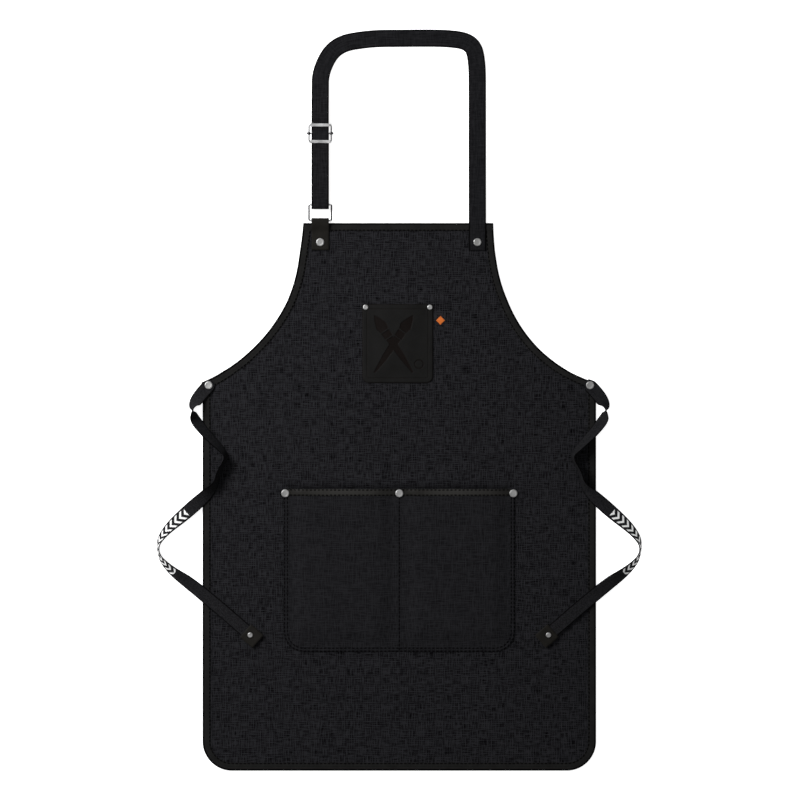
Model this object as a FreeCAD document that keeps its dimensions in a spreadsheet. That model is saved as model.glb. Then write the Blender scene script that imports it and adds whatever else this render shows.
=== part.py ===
import FreeCAD, Part
import math
import os
import re
import Sketcher
from FreeCAD import Vector

# Bib apron laid flat on its back: +X to the right, +Y towards the neck, +Z up off the front of the cloth.
# The origin is under the middle of the whole apron, on the surface that it lies on.  Millimetres.

doc = FreeCAD.newDocument("bib_apron")

# ---------------------------------------------------------------- driving dimensions

SIZES = {
    # cloth, edge band and outline
    "cloth": 0.8,
    "band_width": 11.0,
    "bib_top": 265.0,
    "side_half": 295.0,
    "bottom_edge": 555.0,
    "bottom_round": 44.0,
    "armhole_upper_radius": 580.0,
    "armhole_lower_radius": 227.5,
    "armhole_centre_across": 721.5,
    "armhole_centre_up": 298.65,
    "armhole_lower_centre_up": 240.0,
    "waist_seam": 16.0,
    # rivets
    "post_radius": 1.5,
    "rear_cap_radius": 5.0,
    "front_cap_radius": 6.0,
    "front_cap_height": 1.4,
    "small_post_radius": 1.2,
    "small_rear_cap_radius": 3.6,
    "small_cap_radius": 4.0,
    "small_cap_height": 1.2,
    "cap_bevel": 0.7,
    "rivet_play": 0.3,
    "waist_rivet_across": 285.75,
    "waist_rivet_up": 22.5,
    # lower pocket
    "pocket_half": 173.5,
    "pocket_top": -133.0,
    "pocket_bottom": -377.5,
    "pocket_round": 30.0,
    "pocket_flange": 9.5,
    "pocket_divider_half": 7.0,
    "pocket_lift": 4.6,
    "pocket_slope": 12.0,
    "pocket_band": 10.5,
    "pocket_band_leather": 1.0,
    "pocket_rivet_across": 171.0,
    "pocket_rivet_up": -139.5,
    # chest pocket and its label
    "chest_half": 53.0,
    "chest_top": 144.0,
    "chest_bottom": 26.0,
    "chest_round": 10.0,
    "chest_leather": 1.6,
    "chest_flange": 9.0,
    "chest_slope": 9.0,
    "chest_rivet_across": 48.25,
    "chest_rivet_up": 139.5,
    "mark_across": 61.8,
    "mark_up": 119.8,
    "mark_half": 6.6,
    "mark_thick": 0.5,
    # neck strap, tab, ring and slider
    "strap_width": 25.5,
    "strap_thick": 1.6,
    "strap_end_thick": 2.0,
    "strap_left": -118.5,
    "strap_right": 117.0,
    "strap_middle_up": 542.25,
    "strap_end_low": 224.0,
    "strap_loop_turn": 2.5,
    "strap_easy_turn": 60.0,
    "strap_left_corner": 56.0,
    "strap_right_corner": 38.0,
    "strap_descent": 36.0,
    "return_start": 300.0,
    "return_loop_turn": 1.9,
    "return_crease": 6.0,
    "return_sewn": 14.0,
    "return_slope": 8.0,
    "return_lap": 22.0,
    "return_gap": 0.1,
    "slider_travel_end": 436.0,
    "bib_rivet_up": 237.0,
    "fold_low": 262.0,
    "fold_high": 276.0,
    "tab_leather": 1.0,
    "tab_low": 225.0,
    "hardware_up": 5.5,
    "bend_radius": 2.1,
    "ring_wire": 1.5,
    "ring_half": 16.8,
    "ring_low": 269.2,
    "ring_high": 291.5,
    "slider_up": 399.4,
    "slider_half": 16.6,
    "slider_reach": 12.4,
    "slider_wire": 1.0,
    "slider_wire_up": 10.6,
    "slider_bar_wide": 4.6,
    "slider_bar_thick": 2.0,
    "slider_bar_bevel": 0.8,
    "centre_bar": 1.0,
    "centre_bar_up": 4.6,
    "riser_across": 14.7,
    "riser": 0.8,
    "sleeve": 2.0,
    "sleeve_play": 0.25,
    "sleeve_length": 4.0,
    # waist ties
    "tie_width": 20.0,
    "tie_thick": 1.2,
    "tie_rest": 3.2,
    "tie_end_up": 5.0,
    "tab_side": 26.0,
    "tab_layer": 1.0,
    "tab_rivet_back": 7.0,
    "tab_overhang": 9.0,
}

# Longest straight stretch between two sections of a piece of webbing.
WEBBING_STEP = 8.0

# How far each bend of a tie eats into the shorter of the two runs that it joins.
BEND_SHARE = 0.45

sheet = doc.addObject("Spreadsheet::Sheet", "Sizes")
for row, (alias, value) in enumerate(SIZES.items(), start=1):
    sheet.set("A%d" % row, alias)
    sheet.set("B%d" % row, str(value))
    sheet.setAlias("B%d" % row, alias)
doc.recompute()


def formula(text):
    """The same text with every size's name turned into a reference to its cell."""
    return re.sub(r"[a-z_]+", lambda word: "Sizes." + word[0] if word[0] in SIZES else word[0], text)


def number(text):
    """The present value of a formula."""
    return float(sheet.evalExpression(formula(text)))


def bind(thing, prop, text):
    thing.setExpression(prop, formula(text))


# ---------------------------------------------------------------- sketches and features

def new_body(name):
    body = doc.addObject("PartDesign::Body", name)
    body.Label = name
    return body


def origin_plane(body, role):
    return [item for item in body.Origin.OriginFeatures if item.Role == role][0]


def new_sketch(body, name, plane="XY_Plane", height="0", across="0"):
    """Sketch on one of the body's own planes, `height` along the plane's normal and `across` along its x."""
    sketch = body.newObject("Sketcher::SketchObject", name)
    sketch.AttachmentSupport = [(origin_plane(body, plane), "")]
    sketch.MapMode = "FlatFace"
    bind(sketch, "AttachmentOffset.Base.z", height)
    bind(sketch, "AttachmentOffset.Base.x", across)
    return sketch


def pin_value(sketch, kind, geometry, end, text):
    """Hold one coordinate of a point; the sketch's own dimensions are never negative."""
    value = number(text)
    if abs(value) < 1e-9:
        axis = -2 if kind == "DistanceX" else -1
        sketch.addConstraint(Sketcher.Constraint("PointOnObject", geometry, end, axis))
        return
    if value > 0:
        index = sketch.addConstraint(Sketcher.Constraint(kind, -1, 1, geometry, end, value))
        sketch.setExpression("Constraints[%d]" % index, formula(text))
    else:
        index = sketch.addConstraint(Sketcher.Constraint(kind, geometry, end, -1, 1, -value))
        sketch.setExpression("Constraints[%d]" % index, formula("-(%s)" % text))


def pin(sketch, geometry, end, across, up):
    pin_value(sketch, "DistanceX", geometry, end, across)
    pin_value(sketch, "DistanceY", geometry, end, up)


def hold_radius(sketch, geometry, text):
    index = sketch.addConstraint(Sketcher.Constraint("Radius", geometry, number(text)))
    sketch.setExpression("Constraints[%d]" % index, formula(text))


def draw_loop(sketch, corners):
    """Closed outline through pinned corners, anticlockwise.

    A corner is (across, up) or (across, up, radius): with a radius, the edge that leaves it is an arc
    that turns anticlockwise to the next corner."""
    points = [Vector(number(corner[0]), number(corner[1]), 0) for corner in corners]
    edges = []
    for index, corner in enumerate(corners):
        begin = points[index]
        finish = points[(index + 1) % len(corners)]
        if len(corner) == 2:
            edges.append(sketch.addGeometry(Part.LineSegment(begin, finish), False))
            continue
        radius = number(corner[2])
        chord = finish - begin
        side = Vector(-chord.y, chord.x, 0).normalize()
        rise = math.sqrt(max(radius ** 2 - (chord.Length / 2) ** 2, 0))
        centre = begin + chord * 0.5 + side * rise
        angles = [math.atan2(point.y - centre.y, point.x - centre.x) for point in (begin, finish)]
        circle = Part.Circle(centre, Vector(0, 0, 1), radius)
        arc = sketch.addGeometry(Part.ArcOfCircle(circle, angles[0], angles[1]), False)
        hold_radius(sketch, arc, corner[2])
        edges.append(arc)
    for index, corner in enumerate(corners):
        sketch.addConstraint(Sketcher.Constraint("Coincident", edges[index - 1], 2, edges[index], 1))
        pin(sketch, edges[index], 1, corner[0], corner[1])


def draw_rectangle(sketch, left, right, low, high):
    draw_loop(sketch, [(left, low), (right, low), (right, high), (left, high)])


def draw_circle(sketch, across, up, radius):
    centre = Vector(number(across), number(up), 0)
    circle = sketch.addGeometry(Part.Circle(centre, Vector(0, 0, 1), number(radius)), False)
    pin(sketch, circle, 3, across, up)
    hold_radius(sketch, circle, radius)


def pad(body, sketch, length, taper="0", both_ways=False):
    feature = body.newObject("PartDesign::Pad", sketch.Name + "_pad")
    feature.Profile = (sketch, [""])
    feature.Type = "Length"
    feature.Midplane = both_ways
    bind(feature, "Length", length)
    bind(feature, "TaperAngle", taper)
    sketch.Visibility = False
    return feature


def cut(body, sketch, depth, taper="0", upwards=False, both_ways=False):
    """Pocket from the sketch: down from it, or up where `upwards` is set."""
    feature = body.newObject("PartDesign::Pocket", sketch.Name + "_cut")
    feature.Profile = (sketch, [""])
    feature.Type = "Length"
    feature.Reversed = upwards
    feature.Midplane = both_ways
    bind(feature, "Length", depth)
    bind(feature, "TaperAngle", taper)
    sketch.Visibility = False
    return feature


def mirrored_part(source, name):
    """The same piece on the other side of the apron."""
    mirror = doc.addObject("Part::Mirroring", name)
    mirror.Source = source
    mirror.Normal = Vector(1, 0, 0)
    mirror.Label = name
    return mirror


# ---------------------------------------------------------------- outline of the cloth

def draw_apron(sketch, inset):
    """Outline of the whole apron, moved inwards by `inset`: a top edge, two armholes of two tangent arcs
    each, straight sides and a bottom edge with round corners."""
    move = number(inset)
    upper_radius = SIZES["armhole_upper_radius"] + move
    lower_radius = SIZES["armhole_lower_radius"] + move
    side = SIZES["side_half"] - move
    top = SIZES["bib_top"] - move
    bottom = move - SIZES["bottom_edge"]
    corner = SIZES["bottom_round"] - move
    low_side = bottom + corner
    upper_centre = Vector(SIZES["armhole_centre_across"], SIZES["armhole_centre_up"], 0)
    drop = upper_centre.y - SIZES["armhole_lower_centre_up"]
    apart = SIZES["armhole_upper_radius"] - SIZES["armhole_lower_radius"]
    lower_centre = upper_centre + Vector(-math.sqrt(apart ** 2 - drop ** 2), -drop, 0)
    join_angle = math.atan2(-drop, lower_centre.x - upper_centre.x)
    top_angle = math.atan2(top - upper_centre.y, -math.sqrt(upper_radius ** 2 - (top - upper_centre.y) ** 2))
    waist_angle = math.atan2(-math.sqrt(lower_radius ** 2 - (side - lower_centre.x) ** 2), side - lower_centre.x)
    bib_half = upper_centre.x + upper_radius * math.cos(top_angle)
    waist = lower_centre.y + lower_radius * math.sin(waist_angle)

    def line(x_start, y_start, x_end, y_end):
        return sketch.addGeometry(Part.LineSegment(Vector(x_start, y_start, 0), Vector(x_end, y_end, 0)), False)

    def arc(centre, radius, start, end):
        circle = Part.Circle(centre, Vector(0, 0, 1), radius)
        return sketch.addGeometry(Part.ArcOfCircle(circle, start, end), False)

    def join(first, first_end, second, second_end):
        sketch.addConstraint(Sketcher.Constraint("Coincident", first, first_end, second, second_end))

    def join_smoothly(first, first_end, second, second_end):
        sketch.addConstraint(Sketcher.Constraint("Tangent", first, first_end, second, second_end))

    turn = 2 * math.pi
    top_line = line(-bib_half, top, bib_half, top)
    right_upper = arc(upper_centre, upper_radius, top_angle % turn, join_angle % turn)
    right_lower = arc(lower_centre, lower_radius, join_angle % turn, waist_angle % turn)
    right_side = line(side, waist, side, low_side)
    right_corner = arc(Vector(side - corner, low_side, 0), corner, -math.pi / 2, 0)
    bottom_line = line(side - corner, bottom, corner - side, bottom)
    left_corner = arc(Vector(corner - side, low_side, 0), corner, math.pi, 1.5 * math.pi)
    left_side = line(-side, low_side, -side, waist)
    left_lower = arc(Vector(-lower_centre.x, lower_centre.y, 0), lower_radius,
                     (math.pi - waist_angle) % turn, (math.pi - join_angle) % turn)
    left_upper = arc(Vector(-upper_centre.x, upper_centre.y, 0), upper_radius,
                     (math.pi - join_angle) % turn, (math.pi - top_angle) % turn)

    join(top_line, 2, right_upper, 1)
    join_smoothly(right_upper, 2, right_lower, 1)
    join(right_lower, 2, right_side, 1)
    join_smoothly(right_side, 2, right_corner, 2)
    join_smoothly(right_corner, 1, bottom_line, 1)
    join_smoothly(bottom_line, 2, left_corner, 2)
    join_smoothly(left_corner, 1, left_side, 1)
    join(left_side, 2, left_lower, 1)
    join_smoothly(left_lower, 2, left_upper, 1)
    join(left_upper, 2, top_line, 1)
    for level in (top_line, bottom_line):
        sketch.addConstraint(Sketcher.Constraint("Horizontal", level))
    for upright in (right_side, left_side):
        sketch.addConstraint(Sketcher.Constraint("Vertical", upright))
    for radius, pieces in (("armhole_upper_radius + " + inset, (right_upper, left_upper)),
                           ("armhole_lower_radius + " + inset, (right_lower, left_lower)),
                           ("bottom_round - " + inset, (right_corner, left_corner))):
        for piece in pieces:
            hold_radius(sketch, piece, radius)
    pin(sketch, right_upper, 3, "armhole_centre_across", "armhole_centre_up")
    pin(sketch, left_upper, 3, "-armhole_centre_across", "armhole_centre_up")
    pin_value(sketch, "DistanceY", right_lower, 3, "armhole_lower_centre_up")
    pin_value(sketch, "DistanceY", left_lower, 3, "armhole_lower_centre_up")
    pin_value(sketch, "DistanceY", top_line, 1, "bib_top - " + inset)
    pin_value(sketch, "DistanceY", bottom_line, 1, inset + " - bottom_edge")
    pin_value(sketch, "DistanceX", right_side, 1, "side_half - " + inset)
    pin_value(sketch, "DistanceX", left_side, 1, inset + " - side_half")


# ---------------------------------------------------------------- cloth and edge bands

def body_panel():
    """One cut piece of cloth, with a punched hole under every rivet."""
    body = new_body("body_panel")
    outline = new_sketch(body, "panel_outline", height="cloth")
    draw_apron(outline, "cloth")
    pad(body, outline, "cloth")
    holes = new_sketch(body, "panel_holes", height="2 * cloth")
    draw_circle(holes, "strap_left", "bib_rivet_up", "post_radius")
    draw_circle(holes, "strap_right", "bib_rivet_up", "post_radius")
    draw_circle(holes, "0", "pocket_rivet_up", "post_radius")
    for sign in ("-", ""):
        draw_circle(holes, sign + "waist_rivet_across", "waist_rivet_up", "post_radius")
        draw_circle(holes, sign + "pocket_rivet_across", "pocket_rivet_up", "post_radius")
        draw_circle(holes, sign + "chest_rivet_across", "chest_rivet_up", "small_post_radius")
    cut(body, holes, "cloth")
    return body


def edge_band(name, cleared):
    """Strip of binding folded over the cloth's edge, front and back, over one stretch of the outline.

    `cleared` lists the rectangles (left, right, low, high) of the outline that other bands cover."""
    body = new_body(name)
    outer = new_sketch(body, name + "_outer")
    draw_apron(outer, "0")
    pad(body, outer, "3 * cloth")
    inner = new_sketch(body, name + "_inner", height="3 * cloth")
    draw_apron(inner, "band_width")
    cut(body, inner, "3 * cloth")
    fold = new_sketch(body, name + "_fold", height="2 * cloth")
    draw_apron(fold, "cloth")
    cut(body, fold, "cloth")
    for index, (left, right, low, high) in enumerate(cleared, start=1):
        elsewhere = new_sketch(body, "%s_end_%d" % (name, index), height="3 * cloth")
        draw_rectangle(elsewhere, left, right, low, high)
        cut(body, elsewhere, "3 * cloth")
    return body


def top_band():
    return edge_band("top_band", [("-2 * side_half", "2 * side_half", "-2 * bottom_edge",
                                   "bib_top - band_width")])


def skirt_band():
    return edge_band("skirt_band", [("-2 * side_half", "2 * side_half", "waist_seam", "2 * bib_top")])


def armhole_band_left():
    """The waist rivet passes through this band's corner, and its rear cap sits in the back layer."""
    body = edge_band("armhole_band_left", [
        ("-2 * side_half", "2 * side_half", "-2 * bottom_edge", "waist_seam"),
        ("-2 * side_half", "2 * side_half", "bib_top - band_width", "2 * bib_top"),
        ("0", "2 * side_half", "-2 * bottom_edge", "2 * bib_top"),
    ])
    hole = new_sketch(body, "armhole_band_hole", height="3 * cloth")
    draw_circle(hole, "-waist_rivet_across", "waist_rivet_up", "post_radius")
    cut(body, hole, "3 * cloth")
    seat = new_sketch(body, "armhole_band_seat", height="cloth")
    draw_circle(seat, "-waist_rivet_across", "waist_rivet_up", "rear_cap_radius + rivet_play")
    cut(body, seat, "cloth")
    return body


# ---------------------------------------------------------------- pockets

def pouch_corners(left, right, low, high, corner):
    """U-shaped outline, open end at the top, with round bottom corners."""
    return [(left, high), (left, "%s + %s" % (low, corner), corner), ("%s + %s" % (left, corner), low),
            ("%s - %s" % (right, corner), low, corner), (right, "%s + %s" % (low, corner)), (right, high)]


def pouch(name, half, top, bottom, corner, thick, slope, chambers, holes, hole_radius):
    """A sewn-on pocket: a flat margin on the panel and a front lifted off it, open along the top edge.

    `chambers` lists the (left, right, low, corner) of each lifted compartment where it meets the margin."""
    body = new_body(name)
    margin = new_sketch(body, name + "_margin", height="2 * cloth")
    draw_loop(margin, pouch_corners("-" + half, half, bottom, top, corner))
    pad(body, margin, thick)
    lean = "-atan(%s / pocket_lift)" % slope
    beyond = "%s + 2 * %s" % (top, slope)
    fronts = new_sketch(body, name + "_fronts", height="2 * cloth + " + thick)
    hollows = new_sketch(body, name + "_hollows", height="2 * cloth")
    for left, right, low, turn in chambers:
        draw_loop(fronts, pouch_corners(left, right, low, beyond, turn))
        draw_loop(hollows, pouch_corners(left, right, low, beyond, turn))
    pad(body, fronts, "pocket_lift", taper=lean)
    cut(body, hollows, "pocket_lift", taper=lean, upwards=True)
    mouth = new_sketch(body, name + "_mouth", height="2 * cloth")
    draw_rectangle(mouth, "-2 * " + half, "2 * " + half, top, "%s + 4 * %s" % (top, slope))
    cut(body, mouth, "4 * pocket_lift", upwards=True)
    punched = new_sketch(body, name + "_holes", height="2 * cloth + " + thick)
    for across, up in holes:
        draw_circle(punched, across, up, hole_radius)
    cut(body, punched, thick)
    return body


def lower_pocket():
    """Wide cloth pocket, sewn down along its middle into two compartments."""
    low = "pocket_bottom + pocket_flange"
    turn = "(pocket_round - pocket_flange / 2)"
    chambers = [
        ("-pocket_half + pocket_flange", "-pocket_divider_half", low, turn),
        ("pocket_divider_half", "pocket_half - pocket_flange", low, turn),
    ]
    holes = [(side, "pocket_rivet_up") for side in ("-pocket_rivet_across", "0", "pocket_rivet_across")]
    return pouch("lower_pocket", "pocket_half", "pocket_top", "pocket_bottom", "pocket_round", "cloth",
                 "pocket_slope", chambers, holes, "post_radius")


def pocket_top_band():
    """Glossy leather strip along the mouth of the lower pocket; it follows the lifted fronts."""
    body = new_body("pocket_top_band")
    side = new_sketch(body, "pocket_band_section", plane="XZ_Plane", height="pocket_band - pocket_top")
    margin = "3 * cloth"
    lifted = "3 * cloth + pocket_lift"
    crest = "pocket_half - pocket_flange - pocket_slope"
    foot = "pocket_half - pocket_flange"
    inner_crest = "pocket_divider_half + pocket_slope"
    half_under = [("pocket_divider_half", margin), (inner_crest, lifted), (crest, lifted), (foot, margin),
                  ("pocket_half", margin)]
    under = [("-(%s)" % across, up) for across, up in reversed(half_under)] + half_under
    over = [(across, up + " + pocket_band_leather") for across, up in reversed(under)]
    draw_loop(side, under + over)
    strip = pad(body, side, "pocket_band")
    strip.Reversed = True
    holes = new_sketch(body, "pocket_band_holes", height=margin)
    for across in ("-pocket_rivet_across", "0", "pocket_rivet_across"):
        draw_circle(holes, across, "pocket_rivet_up", "post_radius")
    cut(body, holes, "2 * pocket_band_leather", upwards=True)
    return body


def chest_pocket():
    """Small leather pocket in the middle of the bib."""
    chambers = [("-chest_half + chest_flange", "chest_half - chest_flange", "chest_bottom + chest_flange",
                 "chest_round")]
    holes = [("-chest_rivet_across", "chest_rivet_up"), ("chest_rivet_across", "chest_rivet_up")]
    return pouch("chest_pocket", "chest_half", "chest_top", "chest_bottom", "chest_round", "chest_leather",
                 "chest_slope", chambers, holes, "small_post_radius")


def accent_mark():
    """Small plain diamond sewn on beside the chest pocket."""
    body = new_body("accent_mark")
    sketch = new_sketch(body, "mark_outline", height="2 * cloth")
    draw_loop(sketch, [("mark_across", "mark_up - mark_half"), ("mark_across + mark_half", "mark_up"),
                       ("mark_across", "mark_up + mark_half"), ("mark_across - mark_half", "mark_up")])
    pad(body, sketch, "mark_thick")
    return body


# ---------------------------------------------------------------- rivets

def turn_rivet(body, name, across, up, low, seat, post, rear, cap, cap_height):
    """Two-part rivet turned about its own axis: a flat rear cap of one cloth's height, a post, and a
    bevelled front cap that sits at `seat`."""
    sketch = new_sketch(body, name, plane="XZ_Plane", height="-(%s)" % up, across=across)
    top = "%s + %s" % (seat, cap_height)
    draw_loop(sketch, [("0", low), (rear, low), (rear, low + " + cloth"), (post, low + " + cloth"),
                       (post, seat), (cap, seat), (cap, top + " - cap_bevel"), (cap + " - cap_bevel", top),
                       ("0", top)])
    feature = body.newObject("PartDesign::Revolution", name + "_turned")
    feature.Profile = (sketch, [""])
    feature.ReferenceAxis = (sketch, ["V_Axis"])
    feature.Angle = 360
    sketch.Visibility = False
    return feature


def rivet_group(name, places, low, seat, small=False):
    """All the rivets of one kind and one job, as one piece with a separate solid each."""
    body = new_body(name)
    body.AllowCompound = True
    sizes = ["small_post_radius", "small_rear_cap_radius", "small_cap_radius", "small_cap_height"]
    if not small:
        sizes = ["post_radius", "rear_cap_radius", "front_cap_radius", "front_cap_height"]
    for index, (across, up) in enumerate(places, start=1):
        turn_rivet(body, "%s_%d" % (name, index), across, up, low, seat, *sizes)
    return body


def rivets():
    rivet_group("bib_rivets", [("strap_left", "bib_rivet_up"), ("strap_right", "bib_rivet_up")],
                "0 * cloth", "2 * cloth + strap_end_thick")
    rivet_group("waist_rivets", [("-waist_rivet_across", "waist_rivet_up"),
                                 ("waist_rivet_across", "waist_rivet_up")],
                "0 * cloth", "tie_rest + tie_thick / 2 + rivet_play / 2")
    rivet_group("pocket_rivets", [("-pocket_rivet_across", "pocket_rivet_up"), ("0", "pocket_rivet_up"),
                                  ("pocket_rivet_across", "pocket_rivet_up")],
                "0 * cloth", "3 * cloth + pocket_band_leather")
    rivet_group("chest_rivets", [("-chest_rivet_across", "chest_rivet_up"),
                                 ("chest_rivet_across", "chest_rivet_up")],
                "0 * cloth", "2 * cloth + chest_leather", small=True)


# ---------------------------------------------------------------- strap end, tab, ring and slider

def strap_tab():
    """Leather tab riveted to the left of the bib and folded through the ring."""
    body = new_body("strap_tab")
    side = new_sketch(body, "tab_section", plane="YZ_Plane", height="strap_left")
    edge = "bib_top - band_width"
    under = "hardware_up - bend_radius - tab_leather"
    over = "hardware_up + bend_radius + tab_leather"
    draw_loop(side, [("tab_low", "2 * cloth"), (edge + " - 2 * cloth", "2 * cloth"), (edge, "3 * cloth"),
                     ("ring_low", under, "bend_radius + tab_leather"), ("ring_low", over),
                     (edge + " + tab_leather", "3 * cloth + 2 * tab_leather"),
                     (edge + " - 2 * cloth", "2 * cloth + 2 * tab_leather"),
                     ("tab_low", "2 * cloth + 2 * tab_leather")])
    pad(body, side, "strap_width", both_ways=True)
    loop = new_sketch(body, "tab_loop", plane="YZ_Plane", height="strap_left")
    draw_loop(loop, [(edge + " + 3 * tab_leather", "hardware_up - bend_radius"),
                     ("ring_low", "hardware_up - bend_radius", "bend_radius"),
                     ("ring_low", "hardware_up + bend_radius")])
    cut(body, loop, "2 * strap_width", both_ways=True)
    hole = new_sketch(body, "tab_hole", height="2 * cloth")
    draw_circle(hole, "strap_left", "bib_rivet_up", "post_radius")
    cut(body, hole, "3 * tab_leather", upwards=True)
    return body


def neck_strap_end():
    """The right end of the neck strap, turned under and riveted flat on the bib."""
    body = new_body("neck_strap_end")
    side = new_sketch(body, "strap_end_section", plane="YZ_Plane", height="strap_right")
    edge = "bib_top - band_width"
    draw_loop(side, [("strap_end_low", "2 * cloth"), (edge + " - 2 * cloth", "2 * cloth"),
                     (edge, "3 * cloth"), ("fold_low", "3 * cloth"),
                     ("fold_low", "3 * cloth + strap_thick"), (edge, "3 * cloth + strap_end_thick"),
                     (edge + " - 2 * cloth", "2 * cloth + strap_end_thick"),
                     ("strap_end_low", "2 * cloth + strap_end_thick")])
    pad(body, side, "strap_width", both_ways=True)
    hole = new_sketch(body, "strap_end_hole", height="2 * cloth")
    draw_circle(hole, "strap_right", "bib_rivet_up", "post_radius")
    cut(body, hole, "2 * strap_end_thick", upwards=True)
    return body


def neck_strap_fold():
    """Short stretch of the strap that bends over the bib's top edge."""
    body = new_body("neck_strap_fold")
    side = new_sketch(body, "strap_fold_section", plane="YZ_Plane", height="strap_right")
    draw_rectangle(side, "fold_low", "fold_high", "3 * cloth", "3 * cloth + strap_thick")
    pad(body, side, "strap_width", both_ways=True)
    return body


def rod(name, radius, start, end):
    """Round bar between two (across, up, height) places, each a formula."""
    bar = doc.addObject("Part::Cylinder", name)
    bind(bar, "Radius", radius)
    begin = Vector(*[number(text) for text in start])
    run = Vector(*[number(text) for text in end]) - begin
    moving = [index for index in range(3) if abs(run[index]) > 1e-9][0]
    bind(bar, "Height", "%s - (%s)" % (end[moving], start[moving]))
    bar.Placement = FreeCAD.Placement(begin, FreeCAD.Rotation(Vector(0, 0, 1), run))
    for axis, text in zip("xyz", start):
        bind(bar, "Placement.Base." + axis, text)
    return bar


def knuckle(name, radius, place):
    """Ball that rounds the corner between two bars of the same wire."""
    ball = doc.addObject("Part::Sphere", name)
    bind(ball, "Radius", radius)
    for axis, text in zip("xyz", place):
        bind(ball, "Placement.Base." + axis, text)
    return ball


def fuse(name, shapes):
    joined = doc.addObject("Part::MultiFuse", name)
    joined.Shapes = shapes
    joined.Label = name
    return joined


def wire_corners(half, low, high, level):
    left = "strap_left - " + half
    right = "strap_left + " + half
    return [(left, low, level), (right, low, level), (right, high, level), (left, high, level)]


def ring():
    """Rectangular ring of round wire that joins the tab to the strap."""
    corners = wire_corners("ring_half", "ring_low", "ring_high", "hardware_up")
    pieces = [rod("ring_low_bar", "ring_wire", corners[0], corners[1]),
              rod("ring_right_side", "ring_wire", corners[1], corners[2]),
              rod("ring_high_bar", "ring_wire", corners[3], corners[2]),
              rod("ring_left_side", "ring_wire", corners[0], corners[3])]
    pieces += [knuckle("ring_corner_%d" % index, "ring_wire", corner)
               for index, corner in enumerate(corners, start=1)]
    return fuse("ring", pieces)


def flat_bar(name, middle):
    """One of the slider's two wide bars, which lie across the front of the strap."""
    bar = doc.addObject("Part::Box", name)
    bind(bar, "Length", "2 * slider_half + 2 * slider_wire")
    bind(bar, "Width", "slider_bar_wide")
    bind(bar, "Height", "slider_bar_thick")
    bind(bar, "Placement.Base.x", "strap_left - slider_half - slider_wire")
    bind(bar, "Placement.Base.y", middle + " - slider_bar_wide / 2")
    bind(bar, "Placement.Base.z", "slider_wire_up - slider_bar_thick / 2")
    rounded = doc.addObject("Part::Fillet", name + "_rounded")
    rounded.Base = bar
    doc.recompute()
    long_edges = [index for index, edge in enumerate(bar.Shape.Edges, start=1)
                  if edge.Length > SIZES["slider_half"]]
    radius = SIZES["slider_bar_bevel"]
    rounded.Edges = [(index, radius, radius) for index in long_edges]
    return rounded


def slider_frame():
    low = "slider_up - slider_reach"
    high = "slider_up + slider_reach"
    corners = wire_corners("slider_half", low, high, "slider_wire_up")
    return fuse("slider_frame", [
        flat_bar("slider_low_bar", low),
        flat_bar("slider_high_bar", high),
        rod("slider_right_side", "slider_wire", corners[1], corners[2]),
        rod("slider_left_side", "slider_wire", corners[0], corners[3]),
    ])


def slider_bar():
    """Loose centre bar: it holds the strap's loop, and its bent-up ends curl round the frame's sides."""
    pieces = [rod("centre_rod", "centre_bar", ("strap_left - riser_across", "slider_up", "centre_bar_up"),
                  ("strap_left + riser_across", "slider_up", "centre_bar_up"))]
    bores = []
    for side, sign in (("left", "-"), ("right", "+")):
        foot = "strap_left %s riser_across" % sign
        wire = "strap_left %s slider_half" % sign
        pieces.append(knuckle("centre_corner_" + side, "centre_bar", (foot, "slider_up", "centre_bar_up")))
        pieces.append(rod("riser_" + side, "riser", (foot, "slider_up", "centre_bar_up"),
                          (foot, "slider_up", "slider_wire_up")))
        ends = [(wire, "slider_up %s sleeve_length / 2" % end, "slider_wire_up") for end in ("-", "+")]
        pieces.append(rod("sleeve_" + side, "sleeve", *ends))
        bores.append(rod("sleeve_bore_" + side, "slider_wire + sleeve_play",
                         (wire, "slider_up - sleeve_length", "slider_wire_up"),
                         (wire, "slider_up + sleeve_length", "slider_wire_up")))
    whole = doc.addObject("Part::Cut", "slider_bar")
    whole.Base = fuse("slider_bar_solid", pieces)
    whole.Tool = fuse("slider_bar_bores", bores)
    whole.Label = "slider_bar"
    return whole


# ---------------------------------------------------------------- webbing that follows a route

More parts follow.
